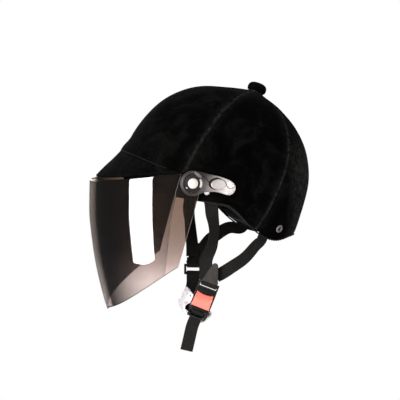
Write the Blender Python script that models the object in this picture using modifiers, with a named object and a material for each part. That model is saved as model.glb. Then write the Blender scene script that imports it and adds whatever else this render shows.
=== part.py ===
"""Riding helmet with a swing-up face visor and a Y-strap chin harness.

Frame: +Z up, -Y is the way the wearer faces, +X is the wearer's left.
The origin is the middle of the crown pad's flat underside, where the top of
the head rests. All driving dimensions are in millimetres.
"""

import math

import bmesh
import bpy
import numpy as np
from mathutils import Matrix, Vector

MM = 0.001

# ---------------------------------------------------------------- dimensions
HALF_WIDTH = 101.0          # widest half width of the covered crown
CENTRE = np.array([0.0, 0.0, -80.0])   # centre that the crown is measured from
LATERAL_POWER = 2.25        # roundness of the crown across the head
# side profile: angle from straight up (back positive), radius from CENTRE
PROFILE = [(-150, 128), (-120, 121), (-105, 118), (-92, 116.5), (-80, 116.2), (-68, 115.3),
           (-56, 113), (-42, 112.5), (-28, 112.4), (-11, 111.4), (0, 110), (12, 109.7),
           (22, 112.2), (30, 115.2), (40, 117.0), (54, 118.8), (67, 121.6), (80, 123.8),
           (100, 125.7), (119, 128.8), (128, 134), (145, 139), (170, 133), (190, 130)]
# rim line seen from the side: (Y, Z)
RIM = [(-130, -103), (-100, -102.8), (-70, -105), (-38, -110.4), (-10, -115.6), (8, -121), (25, -135.5), (37, -147.6),
       (53, -159), (75, -164.8), (92, -161.4), (115, -161)]
POLE_TILT = 29.2            # the top button leans this far back from vertical
SEAM_FRONT, SEAM_REAR = 64.0, 128.5    # panel seams, degrees round the button
BUTTON_HOLE = 3.3           # radius of the hole at the pole

VELVET = (0.0, 1.2)         # depths of each layer below the outer surface
SHELL = (1.5, 4.2)
LINER = (4.5, 21.5)
BAND = (23.8, 29.3)
STRAP_DEPTH = {"front": 7.9, "rear": 8.7}   # middle of a strap end riveted inside the shell

HUB_Y, HUB_Z = -41.5, -90.9  # visor pivot axis, along X
BASE_X = 99.9              # outer face of the pivot base
LENS_X, LENS_T = 102.4, 2.0  # middle of the visor's ear, and its thickness
EAR_R = 13.5
COVER_X0, COVER_X1 = 101.5, 107.5
COVER_HUB_X = 103.75        # inner face of the side cover over the visor's ear

STRAP_W, STRAP_T = 17.0, 1.4

# ------------------------------------------------------------------- scene
for o in list(bpy.data.objects):
    bpy.data.objects.remove(o, do_unlink=True)
PARTS = bpy.data.collections.new("riding_helmet")
TOOLS = bpy.data.collections.new("cutters")
bpy.context.scene.collection.children.link(PARTS)
bpy.context.scene.collection.children.link(TOOLS)
TOOLS.hide_render = True


def material(name, rgb, rough, metal=0.0, alpha=1.0):
    m = bpy.data.materials.new(name)
    m.use_nodes = True
    b = m.node_tree.nodes["Principled BSDF"]
    b.inputs["Base Color"].default_value = (*rgb, 1.0)
    b.inputs["Roughness"].default_value = rough
    b.inputs["Metallic"].default_value = metal
    b.inputs["Alpha"].default_value = alpha
    return m


VELVET_M = material("velvet", (0.004, 0.004, 0.004), 0.95)
ABS_M = material("shell_plastic", (0.02, 0.02, 0.02), 0.5)
FOAM_M = material("impact_foam", (0.03, 0.03, 0.03), 0.9)
LINING_M = material("lining_fabric", (0.012, 0.012, 0.013), 0.9)
LENS_M = material("smoked_lens", (0.16, 0.12, 0.1), 0.05, 0.0, 0.6)
TRIM_M = material("gunmetal_plastic", (0.35, 0.33, 0.32), 0.3, 0.6)
DARK_M = material("black_plastic", (0.015, 0.015, 0.015), 0.4)
STEEL_M = material("bright_steel", (0.75, 0.73, 0.7), 0.2, 1.0)
WEB_M = material("webbing", (0.018, 0.017, 0.016), 0.85)
PATCH_M = material("grey_patch", (0.075, 0.063, 0.058), 0.7)
RED_M = material("red_button", (0.95, 0.2, 0.15), 0.4)
WHITE_M = material("white_cup", (0.88, 0.86, 0.88), 0.45)


# ----------------------------------------------------------------- helpers
def finish(name, bm, mat, smooth=True, collection=None):
    me = bpy.data.meshes.new(name)
    bm.to_mesh(me)
    bm.free()
    if smooth:
        me.shade_smooth()
        me.set_sharp_from_angle(angle=math.radians(35))
    me.materials.append(mat)
    ob = bpy.data.objects.new(name, me)
    (collection or PARTS).objects.link(ob)
    return ob


def as_tool(ob):
    for c in list(ob.users_collection):
        c.objects.unlink(ob)
    TOOLS.objects.link(ob)
    ob.hide_render = True
    ob.display_type = "WIRE"
    return ob


def grid(name, nu, nv, fn, mat, wrap=False, outward=None, split=False):
    """A grid of nu by nv faces, each point placed by fn(u, v) in millimetres."""
    bm = bmesh.new()
    bmesh.ops.create_grid(bm, x_segments=nu, y_segments=nv, size=1.0)
    for v in bm.verts:
        v.co = Vector(fn(round((v.co.x + 1) / 2, 6), round((v.co.y + 1) / 2, 6))) * MM
    if wrap:
        bmesh.ops.remove_doubles(bm, verts=bm.verts, dist=2e-6)
    if split:
        bmesh.ops.triangulate(bm, faces=bm.faces, quad_method="FIXED")
    bm.normal_update()
    if outward is not None:
        away = sum(f.normal.dot(Vector(outward(np.array(f.calc_center_median()) / MM))) for f in bm.faces)
        if away < 0:
            bmesh.ops.reverse_faces(bm, faces=bm.faces)
    return finish(name, bm, mat)


def thicken(ob, mm, offset=-1.0):
    m = ob.modifiers.new("Thickness", "SOLIDIFY")
    m.thickness = mm * MM
    m.offset = offset
    m.use_even_offset = True
    m.use_quality_normals = True
    return ob


def loft(name, rings, mat, smooth=True):
    """A closed solid through rings of matching points, capped at both ends."""
    bm = bmesh.new()
    made = [[bm.verts.new(Vector(p) * MM) for p in r] for r in rings]
    k = len(made[0])
    for a, b in zip(made, made[1:]):
        for j in range(k):
            bm.faces.new((a[j], a[(j + 1) % k], b[(j + 1) % k], b[j]))
    bm.faces.new(made[0][::-1])
    bm.faces.new(made[-1])
    bmesh.ops.recalc_face_normals(bm, faces=bm.faces)
    return finish(name, bm, mat, smooth)


def along(origin, axis):
    """A matrix with its origin here (mm) and its Z along the axis."""
    q = Vector(axis).normalized().to_track_quat("Z", "Y")
    return Matrix.Translation(Vector(origin) * MM) @ q.to_matrix().to_4x4()


def turned(name, profile, origin, axis, mat, steps=16, closed=False):
    """A profile of (radius, height) run from top to bottom, turned about the axis."""
    bm = bmesh.new()
    vs = [bm.verts.new((r * MM, 0, z * MM)) for r, z in profile]
    for a, b in zip(vs, vs[1:]):
        bm.edges.new((a, b))
    if closed:
        bm.edges.new((vs[-1], vs[0]))
    ob = finish(name, bm, mat, smooth=False)
    m = ob.modifiers.new("Turn", "SCREW")
    m.steps = m.render_steps = steps
    m.use_merge_vertices = True
    m.merge_threshold = 1e-6
    m.use_smooth_shade = False
    ob.matrix_world = along(origin, axis)
    return ob


def cylinder(name, p0, p1, r, mat=None, seg=20):
    p0, p1 = np.array(p0, float), np.array(p1, float)
    bm = bmesh.new()
    bmesh.ops.create_cone(bm, cap_ends=True, segments=seg, radius1=r * MM, radius2=r * MM,
                          depth=float(np.linalg.norm(p1 - p0)) * MM)
    ob = finish(name, bm, mat or DARK_M)
    ob.matrix_world = along((p0 + p1) / 2, p1 - p0)
    return ob


def box(name, lo, hi, mat, frame=None, bevel=0.0):
    """A box between two corners, in millimetres of a frame."""
    lo, hi = np.array(lo, float), np.array(hi, float)
    bm = bmesh.new()
    bmesh.ops.create_cube(bm, size=1.0)
    for v in bm.verts:
        v.co = Vector((lo + hi) / 2 + np.array(v.co) * (hi - lo)) * MM
    ob = finish(name, bm, mat, smooth=False)
    if frame is not None:
        ob.matrix_world = frame
    if bevel:
        m = ob.modifiers.new("Edges", "BEVEL")
        m.width = bevel * MM
        m.segments = 2
        m.limit_method = "ANGLE"
    return ob


def outline(name, points, depth, frame, mat, bevel=0.0):
    """A flat outline of (x, y) points filled, and extruded from 0 to depth along the frame's Z."""
    cu = bpy.data.curves.new(name, "CURVE")
    cu.dimensions = "2D"
    cu.fill_mode = "BOTH"
    cu.extrude = depth / 2 * MM
    sp = cu.splines.new("POLY")
    sp.points.add(len(points) - 1)
    for p, (x, y) in zip(sp.points, points):
        p.co = (x * MM, y * MM, 0, 1)
    sp.use_cyclic_u = True
    cob = bpy.data.objects.new(name + "_line", cu)
    PARTS.objects.link(cob)
    bpy.context.view_layer.update()
    graph = bpy.context.evaluated_depsgraph_get()
    me = bpy.data.meshes.new_from_object(cob.evaluated_get(graph))
    me.transform(Matrix.Translation((0, 0, depth / 2 * MM)))
    bpy.data.objects.remove(cob)
    bm = bmesh.new()
    bm.from_mesh(me)
    bmesh.ops.remove_doubles(bm, verts=bm.verts, dist=1e-6)
    bmesh.ops.recalc_face_normals(bm, faces=bm.faces)
    ob = finish(name, bm, mat, smooth=False)
    bpy.data.meshes.remove(me)
    ob.matrix_world = frame
    if bevel:
        m = ob.modifiers.new("Edges", "BEVEL")
        m.width = bevel * MM
        m.segments = 2
        m.limit_method = "ANGLE"
        m.angle_limit = math.radians(50)
    return ob


def pivot(ob, origin):
    """Puts a piece's own origin at this point (mm) and leaves its shape where it is."""
    p = Vector(origin) * MM
    ob.data.transform(Matrix.Translation(-p))
    ob.location = p
    return ob


def cut(ob, *tools):
    for t in tools:
        as_tool(t)
        m = ob.modifiers.new("Cut_" + t.name, "BOOLEAN")
        m.operation = "DIFFERENCE"
        m.object = t
        m.solver = "EXACT"
    return ob


def spline(points):
    """A natural cubic through points, by chord length. Returns f(t) for t from 0 to 1."""
    p = np.array(points, float)
    s = np.concatenate([[0], np.cumsum(np.linalg.norm(np.diff(p, axis=0), axis=1))])
    n, h = len(p), np.diff(s)
    a, b = np.eye(n), np.zeros_like(p)
    for i in range(1, n - 1):
        a[i, i - 1], a[i, i], a[i, i + 1] = h[i - 1], 2 * (h[i - 1] + h[i]), h[i]
        b[i] = 6 * ((p[i + 1] - p[i]) / h[i] - (p[i] - p[i - 1]) / h[i - 1])
    m = np.linalg.solve(a, b)

    def f(t):
        x = t * s[-1]
        i = int(min(max(np.searchsorted(s, x, side="right") - 1, 0), n - 2))
        u, w = x - s[i], s[i + 1] - x
        return (m[i] * w**3 + m[i + 1] * u**3) / (6 * h[i]) + (p[i] / h[i] - m[i] * h[i] / 6) * w + (p[i + 1] / h[i] - m[i + 1] * h[i] / 6) * u

    f.stations = s / s[-1]
    f.length = s[-1]
    return f


def unit(v):
    v = np.array(v, float)
    return v / np.linalg.norm(v)


def ribbon(name, points, widths, mat, width=STRAP_W, thick=STRAP_T, steps=3):
    """Flat webbing along a smooth curve; widths gives the way across at each point."""
    f = spline(points)
    across = np.array([unit(w) for w in widths])
    gaps = len(points) - 1

    def place(k, v):
        u = float(np.interp(k * gaps, range(gaps + 1), f.stations))
        p, q = f(max(u - 1e-3, 0)), f(min(u + 1e-3, 1))
        t = unit(q - p)
        w = np.array([np.interp(u, f.stations, across[:, k]) for k in range(3)])
        w = unit(w - t * (w @ t))
        return f(u) + w * width * (v - 0.5)

    return thicken(grid(name, gaps * steps, 1, place, mat), thick, 0.0)


# ------------------------------------------------------------ crown surface
def periodic(xs, ys, period):
    n = len(xs)
    h = np.diff(np.append(xs, xs[0] + period))
    dy = np.diff(np.append(ys, ys[0])) / h
    a, b = np.zeros((n, n)), np.zeros(n)
    for i in range(n):
        a[i, i - 1] += h[i]
        a[i, i] += 2 * (h[i - 1] + h[i])
        a[i, (i + 1) % n] += h[i - 1]
        b[i] = 3 * (h[i] * dy[i - 1] + h[i - 1] * dy[i])
    m = np.linalg.solve(a, b)

    def f(x):
        x = xs[0] + (x - xs[0]) % period
        i = int(np.clip(np.searchsorted(xs, x, side="right") - 1, 0, n - 1))
        j, t = (i + 1) % n, (x - xs[i]) / h[i]
        return ((2 * t**3 - 3 * t**2 + 1) * ys[i] + (t**3 - 2 * t**2 + t) * h[i] * m[i]
                + (3 * t**2 - 2 * t**3) * ys[j] + (t**3 - t**2) * h[i] * m[j])

    return f


profile_radius = periodic(np.array([p[0] for p in PROFILE], float), np.array([p[1] for p in PROFILE], float), 360.0)
rim_curve = spline([(y, z, 0) for y, z in RIM])
RIM_TABLE = np.array([rim_curve(t)[:2] for t in np.linspace(0, 1, 200)])


def rim_height(y):
    return float(np.interp(y, RIM_TABLE[:, 0], RIM_TABLE[:, 1]))


def gauge(p):
    """1 on the outer surface of the crown, less inside."""
    x, y, z = np.array(p, float) - CENTRE
    rho = math.hypot(y, z) / profile_radius(math.degrees(math.atan2(y, z)))
    return (rho**LATERAL_POWER + abs(x / HALF_WIDTH) ** LATERAL_POWER) ** (1 / LATERAL_POWER)


TILT = math.radians(POLE_TILT)
POLE = np.array([0, math.sin(TILT), math.cos(TILT)])
TO_FRONT = np.array([0, -math.cos(TILT), math.sin(TILT)])
TO_LEFT = np.array([1.0, 0, 0])


def direction(theta, phi):
    t, f = math.radians(theta), math.radians(phi)
    return math.cos(f) * POLE + math.sin(f) * (math.cos(t) * TO_FRONT + math.sin(t) * TO_LEFT)


def outer(d):
    """The crown's outer surface along a direction from CENTRE."""
    return CENTRE + d / gauge(CENTRE + d)


def normal(p):
    e = 0.05
    g = [gauge(p + e * k) - gauge(p - e * k) for k in np.eye(3)]
    return unit(g)


def crown(theta, phi, depth=0.0):
    p = outer(direction(theta, phi))
    return p - normal(p) * depth


def rim_angle(theta):
    lo, hi = 70.0, 150.0
    for _ in range(40):
        mid = (lo + hi) / 2
        p = outer(direction(theta, mid))
        lo, hi = (mid, hi) if p[2] > rim_height(p[1]) else (lo, mid)
    return lo


RIM_AT = {}


def rim_phi(theta):
    k = round(theta % 360, 4)
    if k not in RIM_AT:
        RIM_AT[k] = rim_angle(k)
    return RIM_AT[k]


def down(theta, phi):
    """The way down the outer surface, away from the button."""
    return unit(crown(theta, phi + 0.2) - crown(theta, phi - 0.2))


def by_side(y, z, sign=1):
    """The point of the outer surface seen from the side at this Y and Z."""
    _, dy, dz = np.array([0, y, z]) - CENTRE
    rho = math.hypot(dy, dz) / profile_radius(math.degrees(math.atan2(dy, dz)))
    return np.array([sign * HALF_WIDTH * (1 - rho**LATERAL_POWER) ** (1 / LATERAL_POWER), y, z])


def spread(*stops):
    """Angles from stop to stop in even steps: (start, end, steps) each."""
    out = []
    for a, b, n in stops:
        out += list(np.linspace(a, b, n, endpoint=False))
    return out


N_DOWN = 9
S1, S2 = SEAM_FRONT, SEAM_REAR
RING = spread((-S1, S1, 12), (S1, S2, 6), (S2, 360 - S2, 10), (360 - S2, 360 - S1, 6)) + [360 - S1]
PHI_0 = math.degrees(math.asin(BUTTON_HOLE / profile_radius(POLE_TILT)))


def ring_theta(u):
    return float(np.interp(u * (len(RING) - 1), range(len(RING)), RING))


def layer(name, depths, mat):
    """A layer of the crown all the way round, between two depths."""
    def place(u, v):
        th = ring_theta(u)
        return crown(th, PHI_0 + (rim_phi(th) - PHI_0) * v, depths[0])

    ob = grid(name, len(RING) - 1, N_DOWN, place, mat, wrap=True, outward=lambda c: c - CENTRE, split=True)
    return thicken(ob, depths[1] - depths[0])


def panel(name, ta, tb, n):
    """One velvet panel between two seams, with a fine gap along each."""
    def place(u, v):
        phi = PHI_0 + (rim_phi(ta + (tb - ta) * u) - PHI_0) * v
        side = math.degrees(0.2 / (profile_radius(POLE_TILT) * math.sin(math.radians(phi))))
        th = ta + side + (tb - ta - 2 * side) * u
        return crown(th, phi, VELVET[0])

    ob = grid(name, n, N_DOWN, place, VELVET_M, outward=lambda c: c - CENTRE, split=True)
    return thicken(ob, VELVET[1] - VELVET[0])


def patch_tool(name, p, half, d0, d1):
    """A curved block that follows the crown round a point, between two depths."""
    dirs = unit(p - CENTRE)
    e1 = unit(np.cross([0, 0, 1.0], dirs))
    e2 = np.cross(dirs, e1)
    r = np.linalg.norm(p - CENTRE)

    def place(u, v):
        d = unit(dirs + e1 * (2 * u - 1) * half / r + e2 * (2 * v - 1) * half / r)
        q = outer(d)
        return q - normal(q) * d0

    ob = grid(name, 5, 5, place, DARK_M, outward=lambda c: c - CENTRE)
    return as_tool(thicken(ob, d1 - d0))


def strap_pocket(name, points, widths):
    """Clears the impact liner behind a riveted strap end and its washer."""
    f = spline(points)
    across = np.array([unit(w) for w in widths])

    def place(u, v):
        w = np.array([np.interp(u, f.stations, across[:, k]) for k in range(3)])
        p = f(u) + w * (STRAP_W + 3) * (v - 0.5)
        return p + normal(p) * 6.0

    ob = grid(name, 5, 3, place, DARK_M, outward=lambda c: c - CENTRE)
    return as_tool(thicken(ob, 10.6))


# ------------------------------------------------------------- crown layers
hard_shell = layer("hard_shell", SHELL, ABS_M)
liner = layer("impact_liner", LINER, FOAM_M)
velvet = {
    "front": panel("velvet_front", -S1, S1, 12),
    "left": panel("velvet_left", S1, S2, 6),
    "rear": panel("velvet_rear", S2, 360 - S2, 10),
    "right": panel("velvet_right", 360 - S2, 360 - S1, 6),
}


def binding_point(u, v):
    th = ring_theta(u)
    phi = rim_phi(th)
    return crown(th, phi, -0.7 + 4.7 * v) + down(th, phi) * 0.75


def below(c):
    q = c - CENTRE
    th = math.degrees(math.atan2(q @ TO_LEFT, q @ TO_FRONT))
    return down(th, rim_phi(th))


thicken(grid("rim_binding", len(RING) - 1, 1, binding_point, LINING_M, wrap=True, outward=below), 1.8, 1.0)


def band_reach(th):
    """How far the comfort band runs below the rim, in degrees; most from ear to nape."""
    t = abs((th + 180) % 360 - 180)
    return 4.2 * math.exp(-(((t - 113) / 26) ** 2))


def band_point(u, v):
    th = ring_theta(u)
    top, bottom = rim_phi(th) - 30, rim_phi(th) - 1.5 + band_reach(th)
    return crown(th, top + (bottom - top) * v, BAND[0])


thicken(grid("headband_pad", len(RING) - 1, 5, band_point, LINING_M, wrap=True, outward=lambda c: c - CENTRE), BAND[1] - BAND[0])

# crown pad: domed top under the liner, flat underside at Z = 0
pad_rings = []
for k in range(1, 6):
    ring = []
    for j in range(24):
        a, f = math.tau * j / 24, math.radians(22.0 * k / 5)
        q = outer(np.array([math.sin(f) * math.cos(a), math.sin(f) * math.sin(a), math.cos(f)]))
        ring.append(q - normal(q) * (LINER[1] + 1.4))
    pad_rings.append(ring)
pad_rings.append([np.array([p[0], p[1], 0.0]) for p in pad_rings[-1]])
loft("crown_pad", pad_rings, LINING_M)

# top button: velvet cap over a moulded core whose stem runs through the shell
BUTTON = outer(POLE)
UP = normal(BUTTON)
turned("button_cover", [(0, 12.8), (5.0, 12.4), (9.2, 11.0), (11.7, 8.6), (12.5, 5.4), (12.2, 2.2), (11.6, 0.9), (10.7, 0.9),
                        (11.0, 2.4), (11.2, 5.4), (10.5, 8.0), (8.3, 10.0), (4.5, 11.2), (0, 11.6)], BUTTON, UP, VELVET_M, 20)
turned("button_core", [(0, 11.2), (4.3, 10.8), (8.0, 9.7), (10.1, 7.8), (10.8, 5.4), (10.6, 2.5), (10.2, 1.0), (2.6, 1.0),
                       (2.6, -12.0), (0, -12.0)], BUTTON, UP, DARK_M, 20)
turned("button_washer", [(7.0, -5.2), (7.0, -6.2), (2.9, -6.2), (2.9, -5.2)], BUTTON, UP, STEEL_M, 20, closed=True)
turned("button_nut", [(5.6, -6.5), (5.6, -10.4), (3.3, -10.4), (3.3, -6.5)], BUTTON, UP, STEEL_M, 6, closed=True)

# --------------------------------------------------------------------- peak
def peak_point(u, v, h):
    """u from -1 to 1 round the front, v from the crown to the peak's edge, h depth below its top."""
    th = 66.0 * u
    h = h * 0.66 * (1 - 0.35 * v * v)
    phi = 107.1 - 1.7 * math.sin(math.radians(th)) ** 2 - 3.0 * max(0.0, (abs(th) - 46) / 20) ** 1.5
    p = crown(th, phi)
    p = crown(th, phi + math.degrees(h * 1.3 / np.linalg.norm(p - CENTRE)), -0.45)
    tau = math.radians(88.0 * u)
    edge = np.array([97.0 * math.sin(tau), -46.0 - 106.0 * math.cos(tau), -84.6 + 7.0 * abs(math.sin(tau)) ** 3 - h * 0.9])
    edge[:2] *= 1 - 0.004 * h
    wide = np.linalg.norm(edge - p)
    lift = np.array([0, -0.3, 0.95]) * wide * 0.07 * 4 * v * (1 - v)
    return p + (edge - p) * v + lift


def peak_layer(name, h0, h1, mat, n=24, k=5):
    rings = []
    for i in range(n + 1):
        u = -1 + 2 * i / n
        rings.append([peak_point(u, j / k, h0) for j in range(k + 1)] + [peak_point(u, 1 - j / k, h1) for j in range(k + 1)])
    return loft(name, rings, mat)


peak_layer("peak_cover", 0.0, 1.2, VELVET_M)
peak_layer("peak_core", 2.1, 3.45, ABS_M)
peak_layer("peak_lining", 4.75, 5.65, LINING_M)

# -------------------------------------------------------------------- visor
LENS_Q = 2.35
LENS_FRONT = [(-80, 117.6), (-100, 118.0), (-140, 118.2), (-164, 115.8), (-192, 112.0), (-218, 106.9), (-239, 101.8), (-260, 95.8)]
front_line = np.array(LENS_FRONT)[::-1]
CORNER_Z, CHIN_Z, CORNER_Y = -194.3, -252.0, -58.6


def lens_front(z):
    return float(np.interp(z, front_line[:, 0], front_line[:, 1]))


def lens_side(z):
    return LENS_X - 9.0 * max(0.0, (-118 - z) / 139) ** 1.3


def lens_rear(z):
    """Y of the lens's rear edge: round the ear, then straight down and forward."""
    dz = z - HUB_Z
    if dz > -EAR_R * 0.75:
        return HUB_Y + math.sqrt(max(0.0, EAR_R**2 - dz**2))
    y0, z0 = HUB_Y + math.sqrt(EAR_R**2 * (1 - 0.75**2)), HUB_Z - EAR_R * 0.75
    return y0 + (CORNER_Y - y0) * (z0 - z) / (z0 - CORNER_Z)


def lens_point(u, v):
    u = 2 * u - 1
    top = -89.4 + (HUB_Z + EAR_R + 89.4) * math.sin(math.radians(90 * abs(u) ** 1.25)) ** 2 - 0.9 * math.exp(-(((abs(u) - 0.9) / 0.07) ** 2))
    low = CORNER_Z + (CHIN_Z - CORNER_Z) * (math.cos(math.radians(82 * u)) - 0.139) / 0.861 - 48 * u * u * (1 - abs(u)) - 6.5 * math.exp(-abs(u) / 0.14)
    z = top + (low - top) * v
    a, b, y1 = lens_side(z), lens_front(z), lens_rear(z)
    stretch = 0.55
    last = math.degrees(math.acos(((HUB_Y - y1) / b) ** (LENS_Q / 2))) if y1 < HUB_Y else 90 + (y1 - HUB_Y) / stretch
    sig = abs(u) * last
    if sig > 90:
        x, y = a, HUB_Y + (sig - 90) * stretch
    else:
        s, c = math.sin(math.radians(sig)), math.cos(math.radians(sig))
        x, y = a * s ** (2 / LENS_Q), HUB_Y - b * c ** (2 / LENS_Q)
    return np.array([math.copysign(x, u) if u else 0.0, y, z])


lens = thicken(grid("visor_lens", 28, 10, lens_point, LENS_M, outward=lambda c: c - np.array([0, HUB_Y, c[2]])), LENS_T, 0.0)
pivot(lens, (0, HUB_Y, HUB_Z))
cut(lens, cylinder("tool_lens_holes", (-120, HUB_Y, HUB_Z), (120, HUB_Y, HUB_Z), 3.4, seg=20))

# side cover outline in the side view, from the hub: (back, up)
COVER_EDGE = [(0.7, 15.8), (9.3, 14.4), (21, 11.2), (33.4, 8.2), (42.7, 5.0), (48.9, 1.8), (52.5, -2.0), (53.7, -5.9),
              (52.5, -10.6), (48.9, -14.0), (44.3, -14.9), (39.7, -13.7), (33.4, -11.7), (26.4, -10.6), (20.1, -10.6),
              (13.9, -11.3), (9.3, -12.9), (4.6, -14.9)]
CAP_AT = np.array([31.8, -1.6])
CAP_R = (9.4, 6.4)
side_line = spline([(a, b, 0) for a, b in COVER_EDGE])
HUB_ARC = [(15.6 * math.cos(math.radians(t)), 15.6 * math.sin(math.radians(t))) for t in np.linspace(-85, -275, 15)]
COVER_LINE = [tuple(side_line(t)[:2]) for t in np.linspace(0, 1, 30)] + HUB_ARC[1:-1]
TAIL_Y, TAIL_Z = HUB_Y + CAP_AT[0], HUB_Z + CAP_AT[1]

shell_tools, velvet_tools = [], {k: [] for k in velvet}
liner_tools = [cylinder("tool_liner_button", BUTTON + UP * 5, BUTTON - UP * 30, 9.0, seg=20)]


def oval(rx, ry, n=20):
    return [(CAP_AT[0] + rx * math.cos(math.tau * i / n), CAP_AT[1] + ry * math.sin(math.tau * i / n)) for i in range(n)]


for side, sign in (("left", 1), ("right", -1)):
    hub = np.array([0, HUB_Y, HUB_Z])
    tail = np.array([0, TAIL_Y, TAIL_Z])
    ex = np.array([sign, 0, 0])

    def at(x, base=hub):
        return base + ex * x

    # a frame whose X runs back, Y up and Z out of that side of the helmet
    def plate(x):
        m = Matrix(((0, 0, sign), (1, 0, 0), (0, 1, 0))).to_4x4()
        m.translation = Vector(at(x)) * MM
        return m

    def face(points):
        """An outline in the plate's own frame, kept anticlockwise on either side."""
        return points if sign > 0 else points[::-1]

    skin = by_side(HUB_Y, HUB_Z, sign)
    base = turned("pivot_base_" + side, [(11.0, 0), (11.0, -14), (3.3, -14), (3.3, 0)], at(BASE_X), ex, DARK_M, 24, closed=True)
    cut(base, patch_tool("tool_base_" + side, skin, 30, -0.4, 18))
    turned("friction_washer_" + side, [(8, 0.9), (8, 0.3), (3.5, 0.3), (3.5, 0.9)], at(BASE_X), ex, STEEL_M, 20, closed=True)

    cover = outline("visor_side_cover_" + side, face(COVER_LINE), COVER_X1 - COVER_X0, plate(COVER_X0), TRIM_M)
    cut(cover, cylinder("tool_ear_room_" + side, at(98), at(COVER_HUB_X), 17.0, seg=32),
        cylinder("tool_hub_recess_" + side, at(COVER_X1 - 1.8), at(COVER_X1 + 3), 11.4, seg=28),
        cylinder("tool_hub_hole_" + side, at(98), at(COVER_X1), 3.3, seg=16),
        outline("tool_oval_" + side, face(oval(CAP_R[0] + 0.35, CAP_R[1] + 0.35)), 4.0, plate(COVER_X1 - 1.5), DARK_M),
        cylinder("tool_tail_bore_" + side, at(103.0, tail), at(COVER_X1, tail), 4.2, seg=16),
        cylinder("tool_tail_hole_" + side, at(98, tail), at(104, tail), 2.1, seg=12))
    outline("oval_cap_" + side, face(oval(*CAP_R)), 1.6, plate(COVER_X1 - 1.2), TRIM_M)

    turned("pivot_screw_" + side, [(0, 2.7), (4.6, 2.5), (6.2, 1.7), (6.7, 0.4), (6.5, 0), (3.0, 0), (3.0, -21.0), (0, -21.0)],
           at(COVER_X1 - 1.5), ex, STEEL_M, 20)
    nut = turned("pivot_nut_" + side, [(6.4, 10), (6.4, 0), (3.3, 0), (3.3, 10)], at(85.0), ex, STEEL_M, 12, closed=True)
    cut(nut, patch_tool("tool_nut_" + side, skin, 20, -12, SHELL[1] + 1.25))
    turned("cover_screw_" + side, [(0, 2.3), (3.0, 2.1), (3.8, 1.0), (3.8, 0), (1.8, 0), (1.8, -12.2), (0, -12.2)],
           at(103.3, tail), ex, STEEL_M, 12)
    tail_skin = by_side(TAIL_Y, TAIL_Z, sign)
    nut = turned("cover_nut_" + side, [(4.6, 6), (4.6, 0), (2.3, 0), (2.3, 6)], at(91.3, tail), ex, STEEL_M, 6, closed=True)
    cut(nut, patch_tool("tool_cover_nut_" + side, tail_skin, 14, -12, SHELL[1] + 0.9))

    for n, base_pt, r, rl in (("pivot", hub, 3.5, 8.4), ("tail", tail, 2.2, 6.6)):
        shell_tools.append(cylinder(f"tool_shell_{n}_{side}", at(80, base_pt), at(110, base_pt), r, seg=16))
        liner_tools.append(cylinder(f"tool_liner_{n}_{side}", at(83, base_pt), at(110, base_pt), rl, seg=16))
        velvet_tools[side].append(cylinder(f"tool_velvet_{n}_{side}", at(80, base_pt), at(110, base_pt), r, seg=16))

# ------------------------------------------------------------------ harness
# frames that the left buckle and the right ring hang in: X across, Y out, Z down the strap
def hang_frame(top, low, out):
    top, low = np.array(top, float), np.array(low, float)
    d = unit(low - top)
    n = unit(np.array(out, float) - d * (np.array(out, float) @ d))
    w = np.cross(n, d)
    m = Matrix(((w[0], n[0], d[0]), (w[1], n[1], d[1]), (w[2], n[2], d[2]))).to_4x4()
    m.translation = Vector(top) * MM
    return m, (lambda a, b, c: top + w * a + n * b + d * c), w, n, d


BUCKLE, buckle_at, bw, bn, bd = hang_frame((61, -15.7, -224.5), (48, -29.2, -264.6), (0.988, -0.148, 0.066))
RINGF, ring_at, rw, rn, rd = hang_frame((-62, -17.2, -216.5), (-54, -18.5, -251.7), (-1, 0, 0))

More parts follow.
